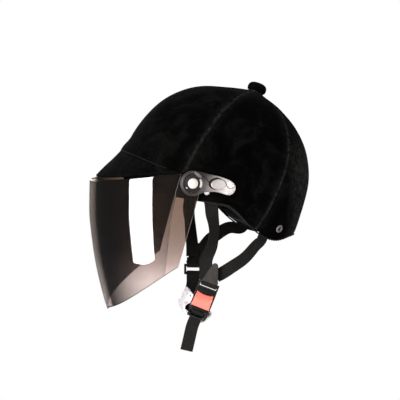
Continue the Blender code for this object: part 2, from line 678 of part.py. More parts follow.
rivets = {}
for side, sign in (("left", 1), ("right", -1)):
    def inside(end, y, z):
        p = by_side(y, z, sign)
        return p - normal(p) * STRAP_DEPTH[end]

    front = [inside("front", *q) for q in ((-25.8, -95.5), (-22.7, -102.9), (-19.2, -111.0), (-17.6, -115.5))]
    rear = [inside("rear", *q) for q in ((79.0, -146.8), (73.1, -150.7), (65.0, -155.6), (58.0, -159.8))]
    fw = [np.array([0, 0.93, 0.36])] * 4
    rear_w = [unit(np.cross(normal(by_side(73.1, -150.7, sign)), unit(rear[-1] - rear[0]))) * -sign] * 4
    for n, pts, ws in (("front", front, fw), ("rear", rear, rear_w)):
        liner_tools.append(strap_pocket(f"tool_strap_{n}_{side}", [pts[0] + (pts[0] - pts[1]) * 0.25] + pts + [pts[-1] + (pts[-1] - pts[-2]) * 1.6],
                                        [ws[0]] + ws + [ws[-1]]))
    if side == "left":
        front += [np.array(q) for q in ((88.3, -15.2, -127.3), (85.5, -12.9, -138.6), (82.5, -11.3, -150.1), (79, -11.7, -161.6), (74.5, -15.2, -177))]
        front += [buckle_at(-15.2, 0, -33), buckle_at(-11.8, 0, -23.5), buckle_at(-7.6, 0, -10.6)]
        slant = unit(bw * 0.94 - bd * 0.34)
        fw = fw + [np.array([-0.1, 1, 0.15]), np.array([-0.5, 1, 0.1]), np.array([-0.7, 1, 0.0]), np.array([-0.72, 1, -0.05]), np.array([-0.3, 1, -0.1]), slant, slant, slant]
        rear += [np.array(q) for q in ((66.6, 50.5, -164.1), (65.8, 45.0, -168.4), (65.4, 38.7, -174.6), (65.2, 32, -182.2), (65.4, 23.9, -189.8), (66.0, 14.2, -196.8))]
        rear += [buckle_at(9.4, -5.7, -20.9), buckle_at(4.6, -4.8, -15.8)]
        turn = unit(np.cross(bn, unit(buckle_at(4.6, 0, -15.8) - buckle_at(9.4, 0, -20.9))))
        turn = turn if turn @ rear_w[0] > 0 else -turn
        rear_w = rear_w + [unit(rear_w[0] * (1 - k) + turn * k) for k in np.linspace(0.1, 1, 8)]
    else:
        front += [np.array(q) for q in ((-86.5, -19.0, -132), (-80, -18.8, -151.5), (-73.4, -18, -170.6))] + [ring_at(1.0, 0, -28), ring_at(1.0, 0, -17.5)]
        fw = fw + [np.array([-0.3, 1, 0.05]), np.array([-0.55, 1, 0]), np.array([-0.3, 1, 0]), -rw, -rw]
        rear += [np.array(q) for q in ((-67.8, 49.5, -161.4), (-69, 38, -160.8), (-69, 27, -163.6), (-68, 17, -169.8), (-66, 5.0, -178.5))]
        rear += [ring_at(-13.0, -4.6, -29.0), ring_at(-7.0, -4.5, -24.5)]
        turn = unit(np.cross(rn, unit(ring_at(-7, 0, -24.5) - ring_at(-13, 0, -29))))
        turn = turn if turn @ rear_w[0] > 0 else -turn
        rear_w = rear_w + [unit(rear_w[0] * (1 - k) + turn * k) for k in np.linspace(0.1, 1, 7)]
    for n, pts, ws, (ry, rz), head in (("front", front, fw, (-23.2, -101.6), 3.8), ("rear", rear, rear_w, (73.1, -150.7), 5.2)):
        strap = ribbon(f"strap_{side}_{n}", pts, ws, WEB_M)
        p = by_side(ry, rz, sign)
        ax = normal(p)
        back = -STRAP_DEPTH[n] - 1.6
        turned(f"strap_rivet_{side}_{n}", [(0, 2.2), (head * 0.55, 1.8), (head * 0.9, 0.9), (head, 0.3), (1.8, 0.3), (1.8, back - 1.3),
                                          (3.1, back - 1.3), (3.1, back - 2.0), (0, back - 2.0)], p, ax, STEEL_M, 16)
        turned(f"rivet_washer_{side}_{n}", [(4.6, back), (4.6, back - 0.95), (2.1, back - 0.95), (2.1, back)], p, ax, STEEL_M, 16, closed=True)
        hole = cylinder(f"tool_rivet_{side}_{n}", p + ax * 6, p - ax * 12, 2.15, seg=12)
        cut(strap, hole)
        rivets[side, n] = hole

for side in ("left", "right"):
    cut(velvet[side], *velvet_tools[side], rivets[side, "front"])
cut(velvet["rear"], rivets["left", "rear"], rivets["right", "rear"])
cut(hard_shell, *shell_tools, *rivets.values())
cut(liner, *liner_tools)


def divider(name, at_frame, lean, top, foot=0.0, narrow=3.2, wide=7.4, mat=PATCH_M):
    """The sewn patch that gathers two straps: narrow at the top, as wide as the webbing below."""
    def place(u, v):
        half = narrow + wide * v**0.85 - 1.2 * max(0.0, v - 0.85) / 0.15 * 0.3
        return at_frame(lean * (1 - v) + foot * v + (2 * u - 1) * half, top + (4.25 - top) * v**1.6, -32.5 + 25.0 * v - 1.6 * (1 - (2 * u - 1) ** 2) * (1 - v))

    ob = grid(name, 6, 6, place, mat, outward=lambda c: at_frame(0, 1, 0) - at_frame(0, 0, 0))
    return thicken(ob, 1.6, 1.0)


divider("divider_left", buckle_at, -1.5, 1.75)
divider("divider_right", lambda a, b, c: ring_at(a, b, c - 2.0), -8.0, 1.9, -1.5, 5.0, 6.0)


def bar_loop(name, at_frame, w, bar_low, top, width=STRAP_W - 0.4, mat=WEB_M):
    """Webbing that comes down one side of a bar, under it and back up the other."""
    half = [(0.95, top), (1.8, (top + bar_low) / 2 - 2.2), (2.6, bar_low - 4.2), (2.65, bar_low - 1.4), (2.05, bar_low + 0.4), (1.1, bar_low + 1.15)]
    path = half + [(0, bar_low + 1.35)] + [(-b, c) for b, c in half[::-1]]
    pts = [at_frame(0, b, c) for b, c in path]
    return ribbon(name, pts, [w] * len(pts), mat, width, steps=2)


bar_loop("buckle_loop", buckle_at, bw, -1.9, -9.2, 20.4)
bar_loop("ring_loop", ring_at, rw, -4.1, -16.0)

# right-hand ring: a moulded rectangle with one wide slot
ring = box("strap_ring", (-12.2, -1.3, -7.2), (12.2, 1.3, 7.2), DARK_M, RINGF, 0.4)
cut(ring, box("tool_ring_slot", (-9.3, -4, -4.1), (9.3, 4, 4.1), DARK_M, RINGF))

# chin strap: round the ring's lower bar, down, then level through the chin cup
CUP_Y, CUP_Z, CUP_OUT = -30.0, -265.0, np.array([0, -0.643, -0.766])
CUP_ACROSS = np.array([0, -0.766, 0.643])
chin = [ring_at(0, -2.5, 17.0), ring_at(0, -2.6, 9.0), ring_at(0, -2.75, 5.5), ring_at(0, -2.2, 3.6), ring_at(0, -1.15, 2.75), ring_at(0, 0, 2.5),
        ring_at(0, 1.15, 2.75), ring_at(0, 2.2, 3.6), ring_at(0, 2.75, 5.5), ring_at(0, 2.7, 9.5), ring_at(0, 2.4, 18.0), np.array([-55.0, -21.0, -244.5]), np.array([-48.0, -26.8, -258.0]),
        np.array([-38.5, CUP_Y, CUP_Z]), np.array([-30, CUP_Y, CUP_Z]), np.array([0, CUP_Y, CUP_Z]), np.array([30, CUP_Y, CUP_Z]), np.array([35.0, CUP_Y, CUP_Z])]
ribbon("chin_strap", chin, [rw] * 11 + [unit(rw + CUP_ACROSS)] + [CUP_ACROSS] * 6, WEB_M)
end = [np.array([36.0, CUP_Y, CUP_Z]), np.array([38.6, CUP_Y + 0.3, CUP_Z + 0.2]), buckle_at(-0.5, -7.4, 41.0), buckle_at(0, -6.0, 37.2), buckle_at(0, -4.8, 33.9)]
ribbon("chin_strap_end", end, [CUP_ACROSS, CUP_ACROSS, -bw, -bw, -bw], WEB_M)
# adjuster: up through one slot, over the middle bar, back through the other, and down as the free end
tail = [buckle_at(0, b, c) for b, c in ((-3.5, 34.3), (-1.6, 34.5), (0.5, 35.1), (1.75, 36.5), (1.95, 37.5), (1.75, 38.6), (0.5, 39.9), (-1.5, 40.6),
                                       (-3.3, 41.5), (-4.15, 43.2), (-4.5, 45.4))]
tail += [np.array([43.0, -32.2, -273.7]), np.array([42.6, -36.2, -288.7]), np.array([42.0, -40.8, -308.7])]
strap_tail = ribbon("strap_tail", tail, [bw] * 11 + [unit(bw + np.array([0.1, 1, -0.1])), np.array([0.12, 1, -0.2]), np.array([0.12, 1, -0.22])],
                    WEB_M, STRAP_W - 1.0)
pivot(strap_tail, buckle_at(0, 0, 30))


# ------------------------------------------------------------------- buckle
def buckle_plane(x, y, origin):
    """A frame in the buckle with X and Y along two of its directions."""
    z = np.cross(x, y)
    m = Matrix(((x[0], y[0], z[0]), (x[1], y[1], z[1]), (x[2], y[2], z[2]))).to_4x4()
    m.translation = Vector(buckle_at(*origin)) * MM
    return m


HALF_BUCKLE = 13.2
housing = outline("buckle_housing", [(-1.3, -6.2), (1.3, -6.2), (1.3, 2.4), (5.5, 6.6), (5.5, 30), (-8, 30), (-8, 8.0), (-1.3, 2.4)],
                  2 * HALF_BUCKLE, buckle_plane(bn, bd, (-HALF_BUCKLE, 0, 0)), DARK_M, 0.5)
cut(housing, box("tool_strap_slot", (-10.9, -6, -1.9), (10.9, 6, 2.5), DARK_M, BUCKLE),
    box("tool_button_well", (-11.7, -6.7, 7.1), (11.7, 9, 28.6), DARK_M, BUCKLE),
    box("tool_tongue_mouth", (-9.3, -2.7, 27.0), (9.3, 0.7, 33), DARK_M, BUCKLE))
edge = [(7.7 + 3.0 * (1 - (a / 10.2) ** 2), a) for a in np.linspace(-10.2, 10.2, 9)]
button = outline("release_button", [(28.2, -11.3), *edge, (28.2, 11.3)][::-1], 4.0, buckle_plane(bd, bw, (0, 2.6, 0)), RED_M, 0.5)
outline("latch_plate", [(-10.9, -4.9), (10.9, -4.9), (10.9, 2.3), (9.7, 2.3), (9.7, -3.9), (4, -3.9), (4, -2.65), (-4, -2.65), (-4, -3.9),
                        (-9.7, -3.9), (-9.7, 2.3), (-10.9, 2.3)], 4.0, buckle_plane(bw, bn, (0, 0, 20.5)), STEEL_M)
SPRING_R, WIRE_R, TURNS, PER_TURN = 2.0, 0.35, 5, 12
coil = bpy.data.curves.new("button_spring", "CURVE")
coil.dimensions = "3D"
coil.bevel_depth = WIRE_R * MM
coil.bevel_resolution = 1
coil.use_fill_caps = True
wire = coil.splines.new("POLY")
wire.points.add(TURNS * PER_TURN)
for i, point in enumerate(wire.points):
    t = math.tau * i / PER_TURN
    point.co = (SPRING_R * math.cos(t) * MM, (-6.1 + 8.1 * i / (TURNS * PER_TURN)) * MM, SPRING_R * math.sin(t) * MM, 1)
coil.materials.append(STEEL_M)
spring = bpy.data.objects.new("button_spring", coil)
spring.matrix_world = buckle_plane(bw, bn, (0, 0, 14.3))
PARTS.objects.link(spring)

tongue = outline("buckle_tongue", [(-3.5, 30.4), (5, 30.4), (5, 31.8), (3.2, 33.6), (3.2, 44.6), (-2.2, 44.6), (-2.2, 33.0), (-3.5, 32.2)],
                 24.0, buckle_plane(bn, bd, (-12, 0, 0)), DARK_M)
blade = as_tool(box("tool_blade", (-8.9, -2.3, 17.3), (8.9, 0.3, 31.4), DARK_M, BUCKLE))
m = tongue.modifiers.new("Blade", "BOOLEAN")
m.operation, m.object, m.solver = "UNION", blade, "EXACT"
cut(tongue, box("tool_slot_a", (-10.6, -8, 32.9), (10.6, 8, 36.0), DARK_M, BUCKLE), box("tool_slot_b", (-10.6, -8, 38.9), (10.6, 8, 42.9), DARK_M, BUCKLE),
    box("tool_bar_recess", (-10.6, 0.4, 35.0), (10.6, 8, 40.0), DARK_M, BUCKLE))

# ----------------------------------------------------------------- chin cup
CUP_HALF = 28.0
STRAP_R = 21.0              # strap's distance from the cup's own centre line
cup_centre = np.array([0, CUP_Y, CUP_Z]) - CUP_OUT * STRAP_R
CUP_ANGLE = math.degrees(math.atan2(CUP_OUT[2], CUP_OUT[1]))


def cup_place(radius):
    def place(u, v):
        x = (2 * u - 1) * CUP_HALF
        delta = -80 + 174 * v
        delta *= 1 - (0.42 if delta < 0 else 0.08) * abs(x / CUP_HALF) ** 4
        a = math.radians(CUP_ANGLE - delta)
        # the upper corners curl in round the chin
        s, k = min(max((abs(x) - 18) / 10, 0), 1), min(max((delta - 36) / 26, 0), 1)
        r = radius(delta) - 8.5 * s * s * k * k * (3 - 2 * k)
        return cup_centre + np.array([x, r * math.cos(a), r * math.sin(a)])
    return place


def cup_radius(delta):
    k = min(max((abs(delta) - 33) / 27, 0), 1)
    return 24.7 - 4.4 * k * k * (3 - 2 * k)


def from_cup(c):
    q = c - cup_centre
    return np.array([0, q[1], q[2]])


cup = thicken(grid("chin_cup", 18, 16, cup_place(cup_radius), WHITE_M, outward=from_cup), 2.0, 1.0)
pad = thicken(grid("chin_pad", 18, 12, cup_place(lambda d: 19.5), LINING_M, outward=from_cup), 3.6)
for piece in (cup, pad):
    pivot(piece, (0, CUP_Y, CUP_Z))
bpy.context.view_layer.update()
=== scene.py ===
import math

import bmesh
import bpy
import numpy as np
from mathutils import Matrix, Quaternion, Vector

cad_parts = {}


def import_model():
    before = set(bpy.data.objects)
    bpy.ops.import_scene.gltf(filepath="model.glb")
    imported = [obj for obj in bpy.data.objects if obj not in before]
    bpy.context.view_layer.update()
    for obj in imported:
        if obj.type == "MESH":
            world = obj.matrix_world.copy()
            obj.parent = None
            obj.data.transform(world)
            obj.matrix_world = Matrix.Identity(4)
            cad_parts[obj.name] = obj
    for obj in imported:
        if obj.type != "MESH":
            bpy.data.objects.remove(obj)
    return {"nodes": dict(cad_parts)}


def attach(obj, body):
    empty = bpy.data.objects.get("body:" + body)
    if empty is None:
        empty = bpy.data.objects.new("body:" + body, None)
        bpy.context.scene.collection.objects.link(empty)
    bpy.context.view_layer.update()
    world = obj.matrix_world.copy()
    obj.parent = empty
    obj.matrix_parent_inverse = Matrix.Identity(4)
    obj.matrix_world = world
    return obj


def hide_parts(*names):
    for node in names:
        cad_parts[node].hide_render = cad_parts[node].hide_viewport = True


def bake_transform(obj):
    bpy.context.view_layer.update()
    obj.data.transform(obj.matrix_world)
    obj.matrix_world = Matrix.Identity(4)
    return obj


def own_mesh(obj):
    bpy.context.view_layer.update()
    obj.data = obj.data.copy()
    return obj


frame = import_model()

"""Looks of the riding helmet: velvet, lens, trim, webbing, buckle and padding.
All shapes are in the same frame as the solids: +Z up, -Y forward, +X the wearer's left. Millimetres in here."""

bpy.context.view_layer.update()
NODES = frame["nodes"]
MM = 0.001
RNG = np.random.default_rng(7)

# ------------------------------------------------------------------ dimensions
HALF_WIDTH = 101.0
CENTRE = np.array([0.0, 0.0, -80.0])
POWER = 2.25
PROFILE = [(-150, 128), (-120, 121), (-105, 118), (-92, 116.5), (-80, 116.2), (-68, 115.3),
           (-56, 113), (-42, 112.5), (-28, 112.4), (-11, 111.4), (0, 110), (12, 109.7),
           (22, 112.2), (30, 115.2), (40, 117.0), (54, 118.8), (67, 121.6), (80, 123.8),
           (100, 125.7), (119, 128.8), (128, 134), (145, 139), (170, 133), (190, 130)]
RIM = [(-130, -103), (-100, -102.8), (-70, -105), (-38, -110.4), (-10, -115.6), (8, -121), (25, -135.5), (37, -147.6),
       (53, -159), (75, -164.8), (92, -161.4), (115, -161)]
POLE_TILT = 29.2
S1, S2 = 64.0, 128.5
BUTTON_HOLE = 3.3
LINER = (4.5, 21.5)
BAND = (23.8, 29.3)
STRAP_DEPTH = {"front": 7.9, "rear": 8.7}
HUB_Y, HUB_Z = -41.5, -90.9
BASE_X = 99.9
LENS_X, LENS_T = 102.4, 2.0
EAR_R = 13.5
COVER_X0, COVER_X1 = 101.5, 107.5
STRAP_W, STRAP_T = 17.0, 1.4


# ------------------------------------------------------------------- materials
class Finish:
    """A node material with the few calls that the finishes below need."""

    def __init__(self, name, **sockets):
        self.m = bpy.data.materials.new(name)
        self.m.use_nodes = True
        self.t = self.m.node_tree
        self.b = self.t.nodes["Principled BSDF"]
        for k, v in sockets.items():
            self.b.inputs[k.replace("_", " ")].default_value = v
        self._place = None

    def node(self, kind, props=None, **inputs):
        n = self.t.nodes.new(kind)
        for k, v in (props or {}).items():
            setattr(n, k, v)
        for k, v in inputs.items():
            key = int(k[1:]) if k[0] == "i" and k[1:].isdigit() else k.replace("_", " ")
            self.put(n.inputs[key], v)
        return n

    def put(self, socket, v):
        if isinstance(v, bpy.types.NodeSocket):
            self.t.links.new(v, socket)
        elif isinstance(v, bpy.types.Node):
            self.t.links.new(v.outputs[0], socket)
        else:
            socket.default_value = v

    @property
    def place(self):
        if self._place is None:
            self._place = self.node("ShaderNodeTexCoord").outputs["Object"]
        return self._place

    def along(self, axis, origin=(0, 0, 0)):
        """Distance along a direction from an origin, in metres."""
        d = self.node("ShaderNodeVectorMath", {"operation": "SUBTRACT"}, i0=self.place, i1=Vector(origin))
        return self.node("ShaderNodeVectorMath", {"operation": "DOT_PRODUCT"}, i0=d, i1=Vector(axis)).outputs["Value"]

    def noise(self, scale, detail=3.0, rough=0.55, vector=None, distort=0.0):
        return self.node("ShaderNodeTexNoise", Vector=vector or self.place, Scale=scale, Detail=detail, Roughness=rough,
                         Distortion=distort).outputs["Fac"]

    def cells(self, scale, vector=None, feature="F1"):
        return self.node("ShaderNodeTexVoronoi", {"feature": feature}, Vector=vector or self.place, Scale=scale).outputs["Distance"]

    def ramp(self, fac, stops):
        n = self.node("ShaderNodeValToRGB", Fac=fac)
        e = n.color_ramp.elements
        while len(e) < len(stops):
            e.new(0.5)
        for s, (at, c) in zip(e, stops):
            s.position = at
            s.color = (*c, 1.0) if isinstance(c, (tuple, list)) else (c, c, c, 1.0)
        return n.outputs["Color"]

    def remap(self, v, a, b, c, d):
        return self.node("ShaderNodeMapRange", Value=v, From_Min=a, From_Max=b, To_Min=c, To_Max=d).outputs["Result"]

    def math(self, op, a, b=0.0):
        return self.node("ShaderNodeMath", {"operation": op}, i0=a, i1=b).outputs[0]

    def mix(self, fac, a, b, kind="MIX"):
        n = self.t.nodes.new("ShaderNodeMix")
        n.data_type, n.blend_type = "RGBA", kind
        self.put(n.inputs[0], fac)
        for k, v in ((6, a), (7, b)):
            self.put(n.inputs[k], (*v, 1.0) if isinstance(v, (tuple, list)) and len(v) == 3 else v)
        return n.outputs[2]

    def read(self, name):
        return self.node("ShaderNodeAttribute", {"attribute_name": name}).outputs["Fac"]

    def colour(self, v):
        self.put(self.b.inputs["Base Color"], v)
        return self

    def rough(self, v):
        self.put(self.b.inputs["Roughness"], v)
        return self

    def bump(self, *layers):
        """Layers of (height, strength, distance in millimetres), one over the other."""
        last = None
        for h, strength, mm in layers:
            n = self.node("ShaderNodeBump", Height=h, Strength=strength, Distance=mm * MM)
            if last is not None:
                self.put(n.inputs["Normal"], last)
            last = n.outputs[0]
        self.put(self.b.inputs["Normal"], last)
        return self


def velvet_finish():
    f = Finish("black_velvet", Roughness=0.9, Specular_IOR_Level=0.0, Sheen_Weight=0.02, Sheen_Roughness=0.35)
    f.b.inputs["Sheen Tint"].default_value = (0.92, 0.96, 1.0, 1.0)
    brushed = f.noise(26, 5, 0.62, distort=1.2)
    pile = f.noise(1400, 2)
    base = f.ramp(brushed, [(0.34, (0.0008, 0.0008, 0.0008)), (0.5, (0.0016, 0.0016, 0.00155)), (0.64, (0.0042, 0.0042, 0.004)), (0.8, (0.0088, 0.0088, 0.0084))])
    # painted sheen: where the marks are set, noise-broken patches of the velvet turn pale grey
    painted_sheen_and_lens_tint = f.math("MULTIPLY", f.read("painted_sheen_and_lens_tint"), f.remap(f.noise(150, 5, 0.75), 0.36, 0.64, 0.05, 1.0))
    base = f.mix(painted_sheen_and_lens_tint, base, (0.034, 0.033, 0.0315))
    f.colour(f.mix(f.remap(pile, 0.3, 0.7, 0.0, 0.4), base, (0.0008, 0.0008, 0.0008)))
    f.rough(f.remap(brushed, 0.3, 0.8, 0.98, 0.8))
    return f.bump((pile, 0.5, 0.35), (brushed, 0.25, 0.5)).m


def webbing_finish(name, dark, light):
    f = Finish(name, Roughness=0.8, Specular_IOR_Level=0.05, Sheen_Weight=0.02, Sheen_Roughness=0.4)
    uv = f.node("ShaderNodeUVMap", {"uv_map": "weave"}).outputs[0]
    parts = f.node("ShaderNodeSeparateXYZ", Vector=uv)
    x, y = parts.outputs[0], parts.outputs[1]
    col = f.math("FLOOR", f.math("DIVIDE", x, 1.15))
    odd = f.math("MULTIPLY", f.math("MODULO", f.math("ABSOLUTE", col), 2.0), math.pi)
    pick = f.math("SINE", f.math("ADD", f.math("MULTIPLY", y, math.tau / 1.9), odd))
    warp = f.math("ABSOLUTE", f.math("SINE", f.math("MULTIPLY", x, math.pi / 1.15)))
    height = f.math("ADD", f.math("MULTIPLY", warp, 0.6), f.math("MULTIPLY", f.math("ADD", pick, 1.0), 0.25))
    fuzz = f.noise(420, 3)
    weave = f.mix(f.remap(height, 0.2, 1.0, 0.0, 1.0), dark, light)
    f.colour(f.mix(f.remap(fuzz, 0.35, 0.7, 0.0, 0.5), weave, dark))
    f.rough(f.remap(fuzz, 0.3, 0.7, 0.72, 0.92))
    return f.bump((height, 0.6, 0.3), (fuzz, 0.2, 0.2)).m


def lining_finish(name, dark, light):
    f = Finish(name, Roughness=0.88, Specular_IOR_Level=0.15, Sheen_Weight=0.05, Sheen_Roughness=0.45)
    knit = f.cells(620)
    broad = f.noise(35, 3)
    f.colour(f.mix(f.remap(broad, 0.3, 0.75, 0.0, 0.5), f.mix(f.remap(knit, 0.1, 0.7, 0.0, 1.0), light, dark), dark))
    f.rough(f.remap(broad, 0.3, 0.7, 0.8, 0.95))
    return f.bump((knit, -0.55, 0.5), (broad, 0.15, 1.0)).m


def foam_finish():
    f = Finish("black_bead_foam", Roughness=0.75, Specular_IOR_Level=0.35)
    bead = f.cells(260, feature="F1")
    seam = f.cells(260, feature="DISTANCE_TO_EDGE")
    f.colour(f.mix(f.remap(seam, 0.0, 0.09, 0.0, 1.0), (0.011, 0.011, 0.012), f.ramp(f.noise(240, 2), [(0.3, (0.026, 0.026, 0.028)), (0.7, (0.046, 0.046, 0.049))])))
    f.rough(f.remap(bead, 0.0, 0.6, 0.6, 0.9))
    return f.bump((f.remap(seam, 0.0, 0.16, 0.0, 1.0), 0.45, 0.5)).m


def plastic_finish(name, dark, light, low=0.32, high=0.5, grain=1500, depth=0.06, shine=0.35):
    f = Finish(name, Roughness=0.4, Specular_IOR_Level=shine)
    broad, fine = f.noise(60, 4), f.noise(grain, 2)
    f.colour(f.mix(f.remap(broad, 0.3, 0.7, 0.0, 1.0), dark, light))
    f.rough(f.remap(f.noise(140, 4, 0.6), 0.3, 0.7, low, high))
    return f.bump((fine, 0.25, depth)).m


def lens_finish():
    f = Finish("smoked_clear", Transmission_Weight=1.0, IOR=1.585, Roughness=0.02)
    z = f.along((0, 0, 1))
    tint = f.ramp(f.remap(z, -0.215, -0.115, 0.0, 1.0),
                  [(0.0, (0.165, 0.133, 0.125)), (0.12, (0.136, 0.107, 0.1)), (0.25, (0.088, 0.066, 0.059)), (0.4, (0.06, 0.0435, 0.0375)),
                   (0.6, (0.046, 0.0315, 0.025)), (0.8, (0.04, 0.0265, 0.0205)), (1.0, (0.036, 0.0235, 0.017))])
    tint = f.mix(f.read("painted_sheen_and_lens_tint"), tint, f.mix(1.0, tint, (0.68, 0.68, 0.68), "MULTIPLY"))
    # light that crosses at a slant goes through more of the smoked plastic
    slant = f.node("ShaderNodeLayerWeight", Blend=0.5).outputs["Facing"]
    pass_on = f.math("POWER", f.math("SUBTRACT", 1.0, slant), 6.0)
    smear = f.noise(38, 5, 0.6, distort=0.6)
    tint = f.mix(f.remap(smear, 0.45, 0.75, 0.0, 0.08), tint, (0.03, 0.022, 0.019))
    through = f.mix(1.0, tint, pass_on, "MULTIPLY")
    # painted highlight: the lens turns paler towards its outline, where it is seen at a slant
    painted_limb_highlight = f.ramp(f.remap(z, -0.215, -0.115, 0.0, 1.0), [(0.0, (0.19, 0.167, 0.154)), (0.35, (0.2, 0.176, 0.162)), (0.6, (0.3, 0.264, 0.244)), (1.0, (0.4, 0.352, 0.326))])
    f.colour(f.mix(f.node("ShaderNodeMapRange", {"interpolation_type": "SMOOTHSTEP"}, **{"Value": slant, "From Min": 0.6, "From Max": 0.73}).outputs[0], through, painted_limb_highlight))
    f.rough(f.remap(smear, 0.45, 0.8, 0.004, 0.03))
    return f.bump((f.noise(9, 2), 0.02, 0.3)).m


def trim_finish():
    """Metallised plastic: dark at the hub, paler towards the tail, where the paleness is a painted highlight."""
    f = Finish("gunmetal_trim_painted_tail_highlight", Metallic=0.25, Roughness=0.4)
    back = f.along((0, 1, 0), (0, HUB_Y * MM, 0))
    up = f.along((0, 0, 1), (0, 0, HUB_Z * MM))
    s = f.math("SUBTRACT", back, f.math("MULTIPLY", up, 0.55))
    wear = f.noise(420, 4, 0.65)
    # painted highlight: the tone runs from dark gunmetal at the hub to pale at the tail
    tone = f.ramp(f.remap(s, 0.0, 0.056, 0.0, 1.0),
                  [(0.0, (0.017, 0.0152, 0.0138)), (0.2, (0.028, 0.0248, 0.0226)), (0.34, (0.12, 0.106, 0.099)), (0.5, (0.4, 0.36, 0.345)), (0.66, (0.56, 0.51, 0.49)), (0.86, (0.8, 0.74, 0.72))])
    f.colour(f.mix(f.remap(wear, 0.35, 0.75, 0.0, 0.28), tone, (0.03, 0.027, 0.025)))
    f.rough(f.remap(f.noise(90, 4), 0.3, 0.7, 0.34, 0.48))
    f.put(f.b.inputs["Specular IOR Level"], f.remap(s, 0.006, 0.022, 0.16, 0.5))
    f.put(f.b.inputs["Metallic"], f.remap(s, 0.006, 0.022, 0.05, 0.25))
    return f.bump((wear, 0.06, 0.08)).m


def steel_finish(name="bright_steel_plated", tone=(0.82, 0.79, 0.77), low=0.16, high=0.3):
    f = Finish(name, Metallic=1.0, Roughness=0.2)
    streak = f.noise(300, 4, 0.6)
    f.colour(f.mix(f.remap(streak, 0.35, 0.75, 0.0, 0.35), tone, tuple(0.62 * c for c in tone)))
    f.rough(f.remap(streak, 0.3, 0.7, low, high))
    return f.bump((f.noise(1800, 2), 0.05, 0.05)).m


def pale_finish():
    """Satin plating that shines evenly."""
    f = Finish("satin_plated", Metallic=0.0, Roughness=0.6, Specular_IOR_Level=0.25)
    cloud = f.noise(240, 4, 0.6)
    f.colour(f.mix(f.remap(cloud, 0.35, 0.75, 0.0, 0.4), (0.7, 0.635, 0.6), (0.5, 0.45, 0.425)))
    f.rough(f.remap(cloud, 0.3, 0.7, 0.52, 0.68))
    return f.bump((f.noise(1800, 2), 0.06, 0.05)).m


def patch_finish(name, dark, light):
    f = Finish(name, Roughness=0.62, Specular_IOR_Level=0.12)
    grain, broad = f.cells(1100), f.noise(110, 4)
    f.colour(f.mix(f.remap(broad, 0.3, 0.72, 0.0, 1.0), dark, light))
    f.rough(f.remap(grain, 0.0, 0.6, 0.5, 0.75))
    return f.bump((grain, 0.4, 0.25), (broad, 0.15, 0.4)).m


def red_finish():
    f = Finish("salmon_red_plastic", Roughness=0.36, Specular_IOR_Level=0.4)
    d = f.along(tuple(bd), tuple(buckle_at(0, 0, 0) * MM))
    # painted shade: the red is darker towards the button's top, over the thumb scoop, and brighter below
    tone = f.ramp(f.remap(d, 0.008, 0.028, 0.0, 1.0), [(0.0, (0.76, 0.142, 0.1)), (0.42, (0.79, 0.158, 0.114)), (0.56, (0.85, 0.19, 0.14)), (1.0, (0.86, 0.2, 0.15))])
    f.colour(f.mix(f.remap(f.noise(260, 4), 0.4, 0.75, 0.0, 0.2), tone, (0.66, 0.13, 0.1)))
    f.rough(f.remap(f.noise(120, 4), 0.3, 0.7, 0.3, 0.45))
    return f.bump((f.noise(1500, 2), 0.12, 0.06)).m


def white_finish():
    f = Finish("white_soft_plastic", Roughness=0.42, Specular_IOR_Level=0.4)
    f.colour(f.mix(f.remap(f.noise(45, 4), 0.3, 0.75, 0.0, 1.0), (0.93, 0.885, 0.91), (0.87, 0.83, 0.87)))
    f.rough(f.remap(f.noise(120, 4), 0.3, 0.7, 0.36, 0.52))
    return f.bump((f.noise(1300, 2), 0.12, 0.06)).m


def thread_finish(name, tone):
    f = Finish(name, Roughness=0.7, Specular_IOR_Level=0.3)
    twist = f.node("ShaderNodeTexWave", {"wave_type": "BANDS", "bands_direction": "DIAGONAL"}, Vector=f.place, Scale=900.0).outputs["Fac"]
    f.colour(f.mix(f.remap(twist, 0.2, 0.8, 0.0, 1.0), tuple(0.55 * c for c in tone), tone))
    return f.bump((twist, 0.4, 0.1)).m


# ------------------------------------------------------------------- mesh tools
def unit(v):
    v = np.asarray(v, float)
    return v / np.linalg.norm(v, axis=-1, keepdims=True)


def put(name, verts, faces, mats, body, nodes=(), slot=None, sharp=40.0, uv=None, marks=None, face_mats=None, fix=True):
    """A piece from points in millimetres, riding on a body and standing for its solids."""
    me = bpy.data.meshes.new(name)
    me.from_pydata((np.asarray(verts, float) * MM).tolist(), [], [list(map(int, f)) for f in faces])
    if uv is not None:
        layer = me.uv_layers.new(name="weave")
        idx = np.zeros(len(me.loops), int)
        me.loops.foreach_get("vertex_index", idx)
        layer.data.foreach_set("uv", np.asarray(uv, np.float32)[idx].ravel())
    if marks is not None:
        a = me.attributes.new("painted_sheen_and_lens_tint", "FLOAT", "POINT")
        a.data.foreach_set("value", np.asarray(marks, np.float32).ravel())
    for m in mats if isinstance(mats, (list, tuple)) else [mats]:
        me.materials.append(m)
    if face_mats is not None:
        me.polygons.foreach_set("material_index", np.asarray(face_mats, np.int32))
    if fix:
        bm = bmesh.new()
        bm.from_mesh(me)
        bmesh.ops.recalc_face_normals(bm, faces=bm.faces)
        bm.to_mesh(me)
        bm.free()
    me.shade_smooth()
    me.set_sharp_from_angle(angle=math.radians(sharp))
    ob = bpy.data.objects.new(name, me)
    bpy.context.scene.collection.objects.link(ob)
    if body:
        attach(ob, body)
    if nodes:
        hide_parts(*([nodes] if isinstance(nodes, str) else nodes))
    return ob


